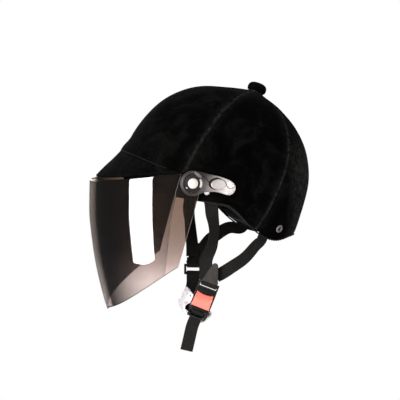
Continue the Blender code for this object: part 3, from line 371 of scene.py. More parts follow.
def shell(a, b, wrap=False):
    """Points and faces of a closed skin between two grids of points."""
    n, m = a.shape[:2]
    off = n * m
    faces = []
    for i in range(n if wrap else n - 1):
        k = (i + 1) % n
        for j in range(m - 1):
            p = (i * m + j, k * m + j, k * m + j + 1, i * m + j + 1)
            faces += [p, tuple(off + q for q in p[::-1])]
        for j in (0, m - 1):
            p, q = i * m + j, k * m + j
            faces.append((p, q, off + q, off + p) if j else (q, p, off + p, off + q))
    if not wrap:
        for i in (0, n - 1):
            for j in range(m - 1):
                p, q = i * m + j, i * m + j + 1
                faces.append((q, p, off + p, off + q) if i else (p, q, off + q, off + p))
    return np.concatenate([a.reshape(-1, 3), b.reshape(-1, 3)]), faces


def tube(sections, cap=True, loop=False):
    """Points and faces through closed sections of matching points."""
    s = np.asarray(sections, float)
    n, m = s.shape[:2]
    faces = []
    for i in range(n if loop else n - 1):
        k = (i + 1) % n
        for j in range(m):
            l = (j + 1) % m
            faces.append((i * m + j, k * m + j, k * m + l, i * m + l))
    if cap and not loop:
        faces.append(tuple(range(m))[::-1])
        faces.append(tuple((n - 1) * m + j for j in range(m)))
    return s.reshape(-1, 3), faces


def frame_of(axis):
    z = unit(axis)
    x = unit(np.cross([0.0, 0.0, 1.0] if abs(z[2]) < 0.9 else [0.0, 1.0, 0.0], z))
    return x, np.cross(z, x), z


def lathe(profile, origin, axis, steps=64, closed=False, ripple=None):
    """Points and faces of a profile of (radius, height) turned about an axis."""
    x, y, z = frame_of(axis)
    origin = np.asarray(origin, float)
    verts, rows, faces = [], [], []
    for r, h in profile:
        if r < 1e-6:
            rows.append([len(verts)])
            verts.append(origin + z * h)
            continue
        row = []
        for k in range(steps):
            t = math.tau * k / steps
            rr = r * (1 + (ripple(t, r, h) if ripple else 0.0))
            row.append(len(verts))
            verts.append(origin + (x * math.cos(t) + y * math.sin(t)) * rr + z * h)
        rows.append(row)
    pairs = list(zip(rows, rows[1:])) + ([(rows[-1], rows[0])] if closed else [])
    for a, b in pairs:
        if len(a) == 1 and len(b) == 1:
            continue
        for k in range(steps):
            l = (k + 1) % steps
            if len(a) == 1:
                faces.append((a[0], b[l], b[k]))
            elif len(b) == 1:
                faces.append((a[k], a[l], b[0]))
            else:
                faces.append((a[k], a[l], b[l], b[k]))
    return np.array(verts), faces


def merge(*groups):
    """Joins (points, faces, material number) groups into one."""
    verts, faces, tags, off = [], [], [], 0
    for v, f, k in groups:
        verts.append(np.asarray(v, float))
        faces += [tuple(off + q for q in p) for p in f]
        tags += [k] * len(f)
        off += len(v)
    return np.concatenate(verts), faces, tags


def carve(ob, *tools, op="DIFFERENCE"):
    """Cuts points-and-faces tools out of a piece."""
    made = []
    for v, f, *mark in tools:
        t = put("carving_tool", v, f, list(ob.data.materials), None, face_mats=[mark[0] if mark else 0] * len(f))
        made.append(t)
        m = ob.modifiers.new("Cut", "BOOLEAN")
        m.operation, m.object, m.solver = op, t, "EXACT"
    bpy.context.view_layer.update()
    graph = bpy.context.evaluated_depsgraph_get()
    me = bpy.data.meshes.new_from_object(ob.evaluated_get(graph), preserve_all_data_layers=True, depsgraph=graph)
    ob.modifiers.clear()
    old = ob.data
    ob.data = me
    bpy.data.meshes.remove(old)
    for t in made:
        d = t.data
        bpy.data.objects.remove(t)
        bpy.data.meshes.remove(d)
    return ob


def reshade(ob, sharp=35.0):
    ob.data.shade_smooth()
    ob.data.set_sharp_from_angle(angle=math.radians(sharp))
    return ob


def soften(ob, mm, segments=2, angle=35.0):
    """Rounds the edges of a piece."""
    m = ob.modifiers.new("Edges", "BEVEL")
    m.width, m.segments, m.limit_method, m.angle_limit = mm * MM, segments, "ANGLE", math.radians(angle)
    m.miter_outer = "MITER_ARC"
    m.harden_normals = False
    return ob


def rod(p0, p1, r, steps=28):
    p0, p1 = np.asarray(p0, float), np.asarray(p1, float)
    h = float(np.linalg.norm(p1 - p0))
    return lathe([(0, h), (r, h), (r, 0), (0, 0)], p0, p1 - p0, steps)


def block(lo, hi, at):
    """A box between two corners of a frame given by its point function."""
    c = [at(*(hi[k] if (i >> k) & 1 else lo[k] for k in range(3))) for i in range(8)]
    return np.array(c), [(0, 1, 3, 2), (4, 6, 7, 5), (0, 4, 5, 1), (2, 3, 7, 6), (0, 2, 6, 4), (1, 5, 7, 3)]


def spline(points):
    """A natural cubic through points, by chord length."""
    p = np.array(points, float)
    s = np.concatenate([[0], np.cumsum(np.linalg.norm(np.diff(p, axis=0), axis=1))])
    n, h = len(p), np.diff(s)
    a, b = np.eye(n), np.zeros_like(p)
    for i in range(1, n - 1):
        a[i, i - 1], a[i, i], a[i, i + 1] = h[i - 1], 2 * (h[i - 1] + h[i]), h[i]
        b[i] = 6 * ((p[i + 1] - p[i]) / h[i] - (p[i] - p[i - 1]) / h[i - 1])
    m = np.linalg.solve(a, b)

    def f(t):
        x = np.atleast_1d(np.asarray(t, float)) * s[-1]
        i = np.clip(np.searchsorted(s, x, side="right") - 1, 0, n - 2)
        u, w, hh = (x - s[i])[:, None], (s[i + 1] - x)[:, None], h[i][:, None]
        out = (m[i] * w**3 + m[i + 1] * u**3) / (6 * hh) + (p[i] / hh - m[i] * hh / 6) * w + (p[i + 1] / hh - m[i + 1] * hh / 6) * u
        return out[0] if np.ndim(t) == 0 else out

    f.stations, f.length = s / s[-1], s[-1]
    return f


def ribbon(name, points, widths, body, nodes, mat, width=STRAP_W, thick=STRAP_T, ends=(0.0, 1.0), slot="webbing"):
    """Woven webbing along a smooth curve, with a rolled selvage at each edge."""
    f = spline(points)
    across = unit(np.array([unit(w) for w in widths]))
    count = max(8, int(f.length * (ends[1] - ends[0]) / 1.5))
    t = np.linspace(ends[0], ends[1], count)
    p = f(t)
    tan = unit(f(np.minimum(t + 1e-3, 1)) - f(np.maximum(t - 1e-3, 0)))
    w = np.stack([np.interp(t, f.stations, across[:, k]) for k in range(3)], 1)
    w = unit(w - tan * np.sum(w * tan, 1, keepdims=True))
    n = np.cross(tan, w)
    ys = np.array([-1, -0.985, -0.95, -0.9, -0.84, -0.6, -0.3, 0, 0.3, 0.6, 0.84, 0.9, 0.95, 0.985, 1])
    hs = np.array([0.25, 0.75, 1.0, 1.0, 0.86, 0.9, 0.92, 0.92, 0.92, 0.9, 0.86, 1.0, 1.0, 0.75, 0.25]) * thick / 2
    loop = [(y, h) for y, h in zip(ys, hs)] + [(y, -h) for y, h in zip(ys[::-1], hs[::-1])]
    sec = np.stack([p + w * (y * width / 2) + n * h for y, h in loop], 1)
    uv = np.stack([np.broadcast_to(np.array([y for y, _ in loop]) * width / 2, sec.shape[:2]),
                   np.broadcast_to((t * f.length)[:, None], sec.shape[:2])], 2).reshape(-1, 2)
    v, faces = tube(sec)
    ob = put(name, v, faces, mat, body, nodes, slot, sharp=55, uv=uv)
    return ob


def stitches(name, path, out, body, mat, length=2.6, gap=1.0, r=0.34, slot=None):
    """A row of thread stitches lying along a path of points with the way out at each."""
    path, out = np.asarray(path, float), unit(out)
    s = np.concatenate([[0], np.cumsum(np.linalg.norm(np.diff(path, axis=0), axis=1))])
    groups = []
    count = int(s[-1] // (length + gap))
    step = s[-1] / max(count, 1)
    for k in range(count):
        a, b = k * step + gap / 2, (k + 1) * step - gap / 2
        pa, pb = (np.array([np.interp(q, s, path[:, c]) for c in range(3)]) for q in (a, b))
        o = unit(np.array([np.interp((a + b) / 2, s, out[:, c]) for c in range(3)]))
        d = unit(pb - pa)
        e = np.cross(o, d)
        rings = []
        for x, q in ((0.0, 0.0), (0.06, 0.55), (0.2, 0.9), (0.5, 1.0), (0.8, 0.9), (0.94, 0.55), (1.0, 0.0)):
            c = pa + (pb - pa) * x + o * (r * 0.55 * (4 * x * (1 - x)))
            rings.append([c + (e * math.cos(g) * 1.05 + o * math.sin(g)) * r * max(q, 0.05) for g in np.linspace(0, math.tau, 8, endpoint=False)])
        v, f = tube(rings)
        groups.append((v, f, 0))
    v, f, _ = merge(*groups)
    return put(name, v, f, mat, body, (), slot, sharp=60)


# ---------------------------------------------------------------- crown surface
def periodic(xs, ys, period):
    n = len(xs)
    h = np.diff(np.append(xs, xs[0] + period))
    dy = np.diff(np.append(ys, ys[0])) / h
    a, b = np.zeros((n, n)), np.zeros(n)
    for i in range(n):
        a[i, i - 1] += h[i]
        a[i, i] += 2 * (h[i - 1] + h[i])
        a[i, (i + 1) % n] += h[i - 1]
        b[i] = 3 * (h[i] * dy[i - 1] + h[i - 1] * dy[i])
    m = np.linalg.solve(a, b)

    def f(x):
        x = xs[0] + (x - xs[0]) % period
        i = int(np.clip(np.searchsorted(xs, x, side="right") - 1, 0, n - 1))
        j, t = (i + 1) % n, (x - xs[i]) / h[i]
        return ((2 * t**3 - 3 * t**2 + 1) * ys[i] + (t**3 - 2 * t**2 + t) * h[i] * m[i]
                + (3 * t**2 - 2 * t**3) * ys[j] + (t**3 - t**2) * h[i] * m[j])

    return f


_profile = periodic(np.array([p[0] for p in PROFILE], float), np.array([p[1] for p in PROFILE], float), 360.0)
ANGLES = np.linspace(-180, 180, 7201)
RADII = np.array([_profile(a) for a in ANGLES])
_rim = spline([(y, z, 0) for y, z in RIM])(np.linspace(0, 1, 400))
TILT = math.radians(POLE_TILT)
POLE = np.array([0, math.sin(TILT), math.cos(TILT)])
TO_FRONT = np.array([0, -math.cos(TILT), math.sin(TILT)])
TO_LEFT = np.array([1.0, 0, 0])


def side_radius(a):
    return np.interp((np.asarray(a) + 180) % 360 - 180, ANGLES, RADII)


def gauge(p):
    q = np.asarray(p, float) - CENTRE
    rho = np.hypot(q[..., 1], q[..., 2]) / side_radius(np.degrees(np.arctan2(q[..., 1], q[..., 2])))
    return (rho**POWER + np.abs(q[..., 0] / HALF_WIDTH) ** POWER) ** (1 / POWER)


def outer(d):
    return CENTRE + d / gauge(CENTRE + d)[..., None]


def normal(p):
    e = 0.25
    return unit(np.stack([gauge(p + e * k) - gauge(p - e * k) for k in np.eye(3)], -1))


def direction(theta, phi):
    t, f = np.radians(np.asarray(theta, float))[..., None], np.radians(np.asarray(phi, float))[..., None]
    return np.cos(f) * POLE + np.sin(f) * (np.cos(t) * TO_FRONT + np.sin(t) * TO_LEFT)


def crown(theta, phi, depth=0.0):
    theta, phi, depth = np.broadcast_arrays(np.asarray(theta, float), np.asarray(phi, float), np.asarray(depth, float))
    p = outer(direction(theta, phi))
    return p - normal(p) * depth[..., None]


def rim_phi(theta):
    theta = np.asarray(theta, float)
    lo, hi = np.full(theta.shape, 70.0), np.full(theta.shape, 150.0)
    for _ in range(40):
        mid = (lo + hi) / 2
        p = outer(direction(theta, mid))
        inside = p[..., 2] > np.interp(p[..., 1], _rim[:, 0], _rim[:, 1])
        lo, hi = np.where(inside, mid, lo), np.where(inside, hi, mid)
    return lo


def down(theta, phi):
    return unit(crown(theta, np.asarray(phi) + 0.2) - crown(theta, np.asarray(phi) - 0.2))


def by_side(y, z, sign=1):
    dy, dz = y - CENTRE[1], z - CENTRE[2]
    rho = math.hypot(dy, dz) / float(side_radius(math.degrees(math.atan2(dy, dz))))
    return np.array([sign * HALF_WIDTH * (1 - rho**POWER) ** (1 / POWER), y, z])


PHI_0 = math.degrees(math.asin(BUTTON_HOLE / float(side_radius(POLE_TILT))))


# ------------------------------------------------------- frames of the harness
def hang_frame(top, low, out):
    top, low = np.array(top, float), np.array(low, float)
    d = unit(low - top)
    n = unit(np.array(out, float) - d * (np.array(out, float) @ d))
    w = np.cross(n, d)
    return (lambda a, b, c: top + w * a + n * b + d * c), w, n, d


buckle_at, bw, bn, bd = hang_frame((61, -15.7, -224.5), (48, -29.2, -264.6), (0.988, -0.148, 0.066))
ring_at, rw, rn, rd = hang_frame((-62, -17.2, -216.5), (-54, -18.5, -251.7), (-1, 0, 0))

VELVET = velvet_finish()
WEB = webbing_finish("black_webbing", (0.0068, 0.0064, 0.006), (0.0185, 0.0172, 0.016))
LINING = lining_finish("black_knit_lining", (0.006, 0.006, 0.0065), (0.02, 0.02, 0.021))
BINDING = lining_finish("black_bound_edge", (0.003, 0.003, 0.0032), (0.0085, 0.0085, 0.009))
FOAM = foam_finish()
ABS = plastic_finish("black_moulded_shell", (0.012, 0.012, 0.012), (0.022, 0.022, 0.022))
DARK = plastic_finish("black_acetal", (0.005, 0.0048, 0.0045), (0.009, 0.0086, 0.008), 0.38, 0.55, shine=0.16)
ROTOR = plastic_finish("dark_hub_plastic", (0.013, 0.0118, 0.0105), (0.025, 0.0225, 0.0205), 0.5, 0.66, shine=0.1)
PALE = pale_finish()
LENS = lens_finish()
TRIM = trim_finish()
STEEL = steel_finish()
DULL = steel_finish("dull_zinc", (0.5, 0.49, 0.47), 0.3, 0.45)
PATCH = patch_finish("grey_sewn_patch", (0.025, 0.0216, 0.02), (0.041, 0.0355, 0.0328))
FAR_PATCH = patch_finish("black_sewn_patch", (0.006, 0.006, 0.006), (0.011, 0.0105, 0.01))
BLUED = steel_finish("blackened_steel", (0.03, 0.03, 0.031), 0.4, 0.55)
# pale opaque brown for the lens's cut edges and for strips along its crease and rear edge: painted highlight lines
LENS_EDGE_HIGHLIGHT = plastic_finish("lens_edge_painted_highlight", (0.13, 0.112, 0.1), (0.18, 0.156, 0.14), 0.3, 0.45, shine=0.3)
GREY = plastic_finish("grey_hub_plastic", (0.1, 0.086, 0.084), (0.15, 0.13, 0.126), 0.4, 0.55, shine=0.2)
RED = red_finish()
WHITE = white_finish()
THREAD = thread_finish("black_thread", (0.03, 0.028, 0.026))
GREY_THREAD = thread_finish("grey_thread", (0.09, 0.085, 0.08))

# ----------------------------------------------------------------- velvet panels
EDGE_STEPS = np.array([0, 0.25, 0.55, 0.95, 1.5, 2.3, 3.4, 4.8, 6.6])


def roll(d, r=1.9, sink=1.05):
    """How far a panel's face sinks towards its seam, with a soft swell beside it."""
    k = np.clip(1 - d / r, 0, 1)
    return sink * k**2 - 0.3 * np.exp(-(((d - 4.2) / 2.6) ** 2)) * (d > 1.0)


def velvet_panel(name, ta, tb, columns, rows, holes):
    body_len = 100.0
    edge = EDGE_STEPS / 400.0
    u = np.concatenate([edge, np.linspace(edge[-1], 1 - edge[-1], columns)[1:-1], 1 - edge[::-1]])
    v = np.concatenate([np.linspace(0, 0.985, rows), [0.99, 0.994, 0.997, 0.9988, 1.0]])
    uu, vv = np.meshgrid(u, v, indexing="ij")
    th0 = ta + (tb - ta) * uu
    phi = PHI_0 + (rim_phi(th0) - PHI_0) * vv
    radius = float(side_radius(POLE_TILT)) * np.sin(np.radians(np.minimum(phi, 90)))
    span = np.radians(tb - ta) * radius
    # the columns near a seam keep their distance in millimetres all the way down
    near = np.minimum(uu, 1 - uu)
    k = np.searchsorted(edge, near)
    mm = np.where(near <= edge[-1] + 1e-9, np.interp(near, edge, EDGE_STEPS), 0)
    inner = np.minimum(EDGE_STEPS[-1], span * 0.3)
    share = np.where(near <= edge[-1] + 1e-9, mm / EDGE_STEPS[-1] * inner / span,
                     inner / span + (near - edge[-1]) / (0.5 - edge[-1]) * (0.5 - inner / span))
    share = np.where(uu <= 0.5, share, 1 - share)
    gap = np.degrees(0.1 / np.maximum(radius, 2.0))
    th = ta + gap + (tb - ta - 2 * gap) * share
    dist = np.minimum(share, 1 - share) * span
    foot = np.radians(rim_phi(th0) * (1 - vv)) * 118.0
    depth = np.maximum(roll(dist), 1.05 * np.clip(1 - foot / 1.3, 0, 1) ** 2)
    # the pile lies unevenly, so the surface isn't a perfect cap
    wave = 0.16 * np.sin(th * 0.21 + phi * 0.11) * np.sin(phi * 0.19 + 1.3) * np.clip(dist / 14, 0, 1)
    if name == "velvet_front":
        turn = (th + 180) % 360 - 180
        k = np.clip((phi - 96.5) / 11.0, 0, 1)
        depth = depth - 7.0 * k * k * (3 - 2 * k) * np.clip((110.2 - phi) / 2.7, 0, 1) * np.clip(np.cos(np.radians(turn * 1.5)), 0, 1) ** 0.7
    # the panels are drawn up a little round the button
    reach = 20 + 12 * np.cos(np.radians(th))
    depth = depth - 2.4 * np.cos(np.radians(90 * np.clip(phi / reach, 0, 1))) ** 2
    a, b = crown(th, phi, depth + wave), crown(th, phi, 1.2)
    # painted sheen: a pale line along each seam with a soft glow beside it, fading at the button, and paler patches low
    # at the rear and faintly at the front
    painted_sheen_and_lens_tint = np.exp(-(((dist - 0.75) / 0.75) ** 2)) * 0.95 + 0.16 * np.exp(-((dist / 8.0) ** 2))
    painted_sheen_and_lens_tint = painted_sheen_and_lens_tint * np.clip((phi - 4) / 8, 0, 1)
    painted_sheen_and_lens_tint = np.clip(painted_sheen_and_lens_tint + 0.95 * np.clip((a[..., 1] - 82) / 20, 0, 1) * np.clip((-25 - a[..., 2]) / 40, 0, 1) + 0.1 * np.clip((-65 - a[..., 1]) / 35, 0, 1), 0, 1)
    vts, faces = shell(a, b)
    ob = put(name, vts, faces, VELVET, "helmet", name, "velvet", sharp=70, marks=np.concatenate([painted_sheen_and_lens_tint.ravel(), np.zeros(painted_sheen_and_lens_tint.size)]))
    if holes:
        carve(ob, *holes)
    return ob


CAP_AT = np.array([31.8, -1.6])
CAP_R = (9.3, 6.5)
TAIL_Y, TAIL_Z = HUB_Y + CAP_AT[0], HUB_Z + CAP_AT[1]
RIVET_AT = {"front": (-23.2, -101.6), "rear": (73.1, -150.7)}


def rivet_rod(side, end, r=2.15):
    p = by_side(*RIVET_AT[end], side)
    ax = normal(p)
    return rod(p - ax * 12, p + ax * 6, r, 20)


def side_holes(sign):
    return [rod((80 * sign, HUB_Y, HUB_Z), (112 * sign, HUB_Y, HUB_Z), 3.5, 24),
            rod((80 * sign, TAIL_Y, TAIL_Z), (112 * sign, TAIL_Y, TAIL_Z), 2.2, 20), rivet_rod(sign, "front")]


velvet_panel("velvet_front", -S1, S1, 62, 58, [])
velvet_panel("velvet_left", S1, S2, 34, 58, side_holes(1))
velvet_panel("velvet_rear", S2, 360 - S2, 54, 58, [rivet_rod(1, "rear"), rivet_rod(-1, "rear")])
velvet_panel("velvet_right", 360 - S2, 360 - S1, 34, 58, side_holes(-1))

# bound edge: a soft piping round the rim
th = np.linspace(0, 360, 240, endpoint=False)
ph = rim_phi(th)
base, nrm, dwn = crown(th, ph, 1.65), normal(crown(th, ph)), down(th, ph)
dwn = unit(dwn - nrm * np.sum(dwn * nrm, 1, keepdims=True))
ring = [base + dwn * (1.62 + 0.88 * math.sin(t)) + nrm * (2.3 * math.cos(t)) for t in np.linspace(0, math.tau, 18, endpoint=False)]
v, f = tube(np.stack(ring, 1), loop=True)
put("rim_binding", v, f, BINDING, "helmet", "rim_binding", "lining_fabric")
seam = base + dwn * 1.9 + nrm * 2.32
stitches("rim_stitching", np.concatenate([seam, seam[:1]]), np.concatenate([nrm, nrm[:1]]), "helmet", THREAD, 3.0, 1.2, 0.22, "lining_fabric")

# top button: velvet gathered over a dome
top = spline([(0, 12.8, 0), (3.0, 12.7, 0), (6.2, 12.2, 0), (9.2, 11.0, 0), (11.5, 8.8, 0), (12.45, 5.6, 0), (12.3, 3.0, 0), (11.6, 0.9, 0)])(np.linspace(0, 1, 30))
prof = [(max(r, 0.0), h) for r, h, _ in top] + [(11.2, 0.6), (10.75, 0.9), (11.0, 2.4), (11.2, 5.4), (10.5, 8.0), (8.3, 10.0), (4.5, 11.2), (0, 11.6)]
prof[0] = (0.0, 12.8)
BUTTON = outer(POLE)
UP = normal(BUTTON)
v, f = lathe(prof, BUTTON + UP * 2.2, UP, 96, ripple=lambda t, r, h: (0.006 * math.sin(17 * t) + 0.004 * math.sin(29 * t + 1)) * max(0.0, 1 - h / 9) if r > 11.05 or h > 2 else 0)
put("button_cover", v, f, VELVET, "helmet", "button_cover", "velvet", sharp=60, marks=[0.0] * len(v))

# ----------------------------------------------------------------------- peak
def peak_point(u, v, h, out=0.0):
    u, v, h, out = np.broadcast_arrays(*(np.asarray(q, float) for q in (u, v, h, out)))
    h, out = h * 0.66 * (1 - 0.35 * v * v), out * 0.5
    th = 66.0 * u
    phi = 107.1 - 1.7 * np.sin(np.radians(th)) ** 2 - 3.0 * np.clip((np.abs(th) - 46) / 20, 0, None) ** 1.5
    p = crown(th, phi)
    p = crown(th, phi + np.degrees(h * 1.3 / np.linalg.norm(p - CENTRE, axis=-1)), -0.45)
    tau = np.radians(88.0 * u)
    edge = np.stack([97.0 * np.sin(tau), -46.0 - 106.0 * np.cos(tau), -84.6 + 7.0 * np.abs(np.sin(tau)) ** 3 - h * 0.9], -1)
    edge[..., :2] *= (1 - 0.004 * h)[..., None]
    wide = np.linalg.norm(edge - p, axis=-1)
    lift = np.array([0, -0.3, 0.95]) * (wide * 0.07 * 4 * v * (1 - v))[..., None]
    away = unit(np.stack([np.sin(tau), -np.cos(tau), 0 * tau], -1))
    return p + (edge - p) * v[..., None] + lift + away * out[..., None]


U = np.linspace(-1, 1, 121)[:, None]
over = [(x, 0.0 + 0.9 * max(0.0, 1 - x / 0.045) ** 2, 0.0) for x in np.concatenate([np.linspace(0, 0.1, 7), np.linspace(0.14, 0.97, 20)])]
over += [(0.99, 0.0, 0.0), (1.0, 0.12, 0.35), (1.0, 0.55, 0.85), (1.0, 1.3, 1.2), (1.0, 2.4, 1.35), (1.0, 3.5, 1.25), (1.0, 4.5, 0.9), (1.0, 5.2, 0.35), (1.0, 5.6, -0.3), (0.985, 5.75, -0.3), (0.93, 5.75, 0.0)]
under = [(0.93, 5.25, 0.0), (0.985, 5.2, -0.3), (1.0, 4.6, -0.05), (1.0, 3.9, 0.45), (1.0, 2.4, 0.6), (1.0, 1.2, 0.4), (0.985, 1.2, 0.0)]
under += [(x, 1.2, 0.0) for x in np.linspace(0.95, 0.0, 18)]
line = np.array(over + under)
sec = peak_point(U, line[None, :, 0], line[None, :, 1], line[None, :, 2])
top_side = np.arange(len(line)) < 27
fill = np.where(top_side, np.interp(line[:, 0], [0, 0.06, 0.125, 0.25, 0.375, 0.5, 0.75, 0.92, 1], [6.2, 4.8, 3.45, 1.8, 0.45, -0.3, -0.6, -0.3, 0]), 0)
spread = np.clip(np.cos(np.radians(99.0 * U)), 0, 1) ** 0.7
tau = np.radians(88.0 * U)
sec = sec + np.stack([0.7 * np.sin(tau), -0.7 * np.cos(tau), np.full(U.shape, 0.71)], -1) * (fill[None, :] * spread)[..., None]
v, f = tube(sec)
# painted sheen on the peak: strongest at its root, faint over the top, and along the rolled front edge
painted_sheen_and_lens_tint = np.zeros(sec.shape[:2])
painted_sheen_and_lens_tint[:, :7] = 0.5 * np.linspace(1, 0, 7)
painted_sheen_and_lens_tint[:, 7:27] = 0.14
painted_sheen_and_lens_tint[:, 27:36] = 0.2
put("peak_cover", v, f, VELVET, "helmet", "peak_cover", "velvet", sharp=60, marks=painted_sheen_and_lens_tint.ravel())
stitches("peak_root_stitching", sec[12:-12, 3] + np.array([0, -0.1, 0.25]), np.stack([0.5 * np.sin(tau), -0.5 * np.cos(tau), np.full(U.shape, 0.8)], -1)[12:-12, 0], "helmet", THREAD, 1.9, 1.6, 0.28, "velvet")
line = np.array([(x, 4.5, 0) for x in np.linspace(0.0, 0.955, 16)] + [(0.962, 4.9, 0)] + [(x, 5.45 - 0.35 * math.sin(math.pi * x), 0) for x in np.linspace(0.955, 0.0, 16)])
v, f = tube(peak_point(U * 0.995, line[None, :, 0], line[None, :, 1], line[None, :, 2]))
put("peak_lining", v, f, LINING, "helmet", "peak_lining", "lining_fabric", sharp=60)
uu = np.linspace(-0.97, 0.97, 160)
for k, (x, h) in enumerate(((0.975, 5.85),)):
    path = peak_point(uu, x, h)
    stitches("peak_edge_stitching", path, np.tile([0, 0, -1.0], (len(path), 1)), "helmet", THREAD, 3.0, 1.2, 0.26, "lining_fabric")

# ---------------------------------------------------------------------- visor
LENS_Q = 2.35
LENS_FRONT = [(-70, 117.2), (-80, 117.6), (-100, 118.0), (-140, 118.2), (-164, 115.8), (-192, 112.0), (-218, 106.9), (-239, 101.8), (-260, 95.8)]
_front = spline([(z, b, 0) for z, b in LENS_FRONT[::-1]])(np.linspace(0, 1, 300))
CORNER_Z, CHIN_Z, CORNER_Y = -194.3, -252.0, -58.6
CREASE = [(-72, -54.5), (-84, -57.0), (-99.5, -61.6), (-128.2, -67.2), (-167, -71.3), (-205, -75.0), (-235, -78.0)]
_crease = np.array(CREASE)[::-1]


def lens_rear(z):
    dz = z - HUB_Z
    y0, z0 = HUB_Y + math.sqrt(EAR_R**2 * (1 - 0.75**2)), HUB_Z - EAR_R * 0.75
    return np.where(dz > -EAR_R * 0.75, HUB_Y + np.sqrt(np.clip(EAR_R**2 - dz**2, 0, None)), y0 + (CORNER_Y - y0) * (z0 - z) / (z0 - CORNER_Z))


def lens_point(u, v):
    """u from -1 to 1 round the front, v from the top edge down."""
    u, v = np.broadcast_arrays(np.asarray(u, float), np.asarray(v, float))
    au = np.abs(u)
    topz = -89.4 + (HUB_Z + EAR_R + 89.4) * np.sin(np.radians(90 * au**1.25)) ** 2 - 0.9 * np.exp(-(((au - 0.9) / 0.07) ** 2))
    low = CORNER_Z + (CHIN_Z - CORNER_Z) * (np.cos(np.radians(82 * u)) - 0.139) / 0.861 - 48 * u * u * (1 - au) - 6.5 * np.exp(-au / 0.14)
    z = topz + (low - topz) * v
    a = LENS_X - 9.0 * np.clip((-118 - z) / 139, 0, None) ** 1.3
    b = np.interp(z, _front[:, 0], _front[:, 1])
    y1 = lens_rear(z)
    last = np.where(y1 < HUB_Y, np.degrees(np.arccos(np.clip((HUB_Y - y1) / b, 0, 1) ** (LENS_Q / 2))), 90 + (y1 - HUB_Y) / 0.55)
    sig = au * last
    s, c = np.sin(np.radians(np.minimum(sig, 90))), np.cos(np.radians(np.minimum(sig, 90)))
    x = np.where(sig > 90, a, a * np.abs(s) ** (2 / LENS_Q))
    y = np.where(sig > 90, HUB_Y + (sig - 90) * 0.55, HUB_Y - b * np.abs(c) ** (2 / LENS_Q))
    return np.stack([np.copysign(x, u) * (au > 0), y, z], -1)


CREASE_C = 0.82
cols = np.unique(np.concatenate([[0.004, 0.009, 0.016, 0.025, 0.036, 0.05], np.linspace(0, 0.72, 60), np.linspace(0.72, CREASE_C - 0.006, 10), CREASE_C + np.array([-0.003, -0.0016, 0.0016, 0.004, 0.008]),
                                 np.linspace(CREASE_C + 0.016, 0.985, 22), [0.99, 0.9965, 0.999, 1.0]]))
c = np.concatenate([-cols[::-1][:-1], cols])
v = np.unique(np.concatenate([[0, 0.0025, 0.006, 0.012, 0.988, 0.994, 0.9975, 1.0], np.linspace(0, 1, 76)]))
cc, vv = np.meshgrid(c, v, indexing="ij")
# one column of the grid runs down the crease
lo, hi = np.full(v.shape, 0.4), np.full(v.shape, 0.995)
for _ in range(40):
    m = (lo + hi) / 2
    p = lens_point(m, v)
    ahead = p[:, 1] < np.interp(p[:, 2], _crease[:, 0], _crease[:, 1])
    lo, hi = np.where(ahead, m, lo), np.where(ahead, hi, m)
ac = np.abs(cc)
uu = np.copysign(np.where(ac < CREASE_C, ac / CREASE_C * lo, lo + (ac - CREASE_C) / (1 - CREASE_C) * (1 - lo)), cc)
mid = lens_point(uu, vv)
e = 1e-4
du = lens_point(np.clip(uu + e, -1, 1), vv) - lens_point(np.clip(uu - e, -1, 1), vv)
dv = lens_point(uu, np.clip(vv + e, 0, 1)) - lens_point(uu, np.clip(vv - e, 0, 1))
nrm = unit(np.cross(dv, du))
nrm *= np.sign(np.sum(nrm * (mid - np.array([0, HUB_Y, 0]) * [1, 1, 0] - mid * [0, 0, 1]), -1, keepdims=True))
# behind the crease the face steps down a little and comes back over a hand's breadth
behind = np.linalg.norm(mid - lens_point(np.copysign(lo, cc), vv), axis=-1)
groove = np.where(ac > CREASE_C, 0.2 * np.exp(-behind / 30.0), 0.0)
half = np.full(uu.shape, LENS_T / 2)
rim = np.minimum(vv, 1 - vv) * 120.0
half = half * (0.62 + 0.38 * np.clip(rim / 0.9, 0, 1) ** 0.5)
vts, faces = shell(mid + nrm * (half - groove)[..., None], mid - nrm * half[..., None])
deep = np.where(ac < CREASE_C, np.exp(-behind / 16.0), 0.0).ravel()
lens = put("visor_lens", vts, faces, [LENS, LENS_EDGE_HIGHLIGHT], "visor", "visor_lens", "smoked_lens", sharp=32, marks=np.concatenate([deep, deep]))
# painted highlight: the faces across the lens's two rear edges take the pale edge material
for poly in lens.data.polygons:
    if all((k % cc.size) // len(v) in (0, len(c) - 1) for k in poly.vertices):
        poly.material_index = 1
carve(lens, rod((-120, HUB_Y, HUB_Z), (120, HUB_Y, HUB_Z), 3.4, 40))
for side, sign in (("left", 1), ("right", -1)):
    # painted highlight: a pale strip along each crease
    t = np.linspace(0.02, 0.985, 120)
    q = np.interp(t, v, lo) * sign
    at, along = lens_point(q, t), unit(lens_point(q + e, t) - lens_point(q - e, t))
    n = unit(np.cross(lens_point(q, t + e) - lens_point(q, t - e), along))
    n *= np.sign(n[:, :1] * sign)
    rings = np.stack([at + along * k + n * (LENS_T / 2 + h) for k, h in ((-0.24, -0.05), (0.24, -0.05), (0.24, 0.06), (-0.24, 0.06))], 1)
    put("lens_crease_highlight_" + side, *tube(rings), LENS_EDGE_HIGHLIGHT, "visor", (), "smoked_lens", sharp=30)
    # a pale strip along the rear edge is a painted highlight line
    t, q = np.linspace(0.24, 0.985, 100), np.full(100, float(sign))
    at, along = lens_point(q, t), unit(lens_point(q, t) - lens_point(q - 10 * e * sign, t))
    n = unit(np.cross(lens_point(q, t + e) - lens_point(q, t - e), along))
    n *= np.sign(n[:, :1] * sign)
    rings = np.stack([at + along * k + n * (LENS_T / 2 + h) for k, h in ((-0.6, -0.05), (-0.04, -0.05), (-0.04, 0.06), (-0.6, 0.06))], 1)
    put("lens_rear_edge_highlight_" + side, *tube(rings), LENS_EDGE_HIGHLIGHT, "visor", (), "smoked_lens", sharp=30)

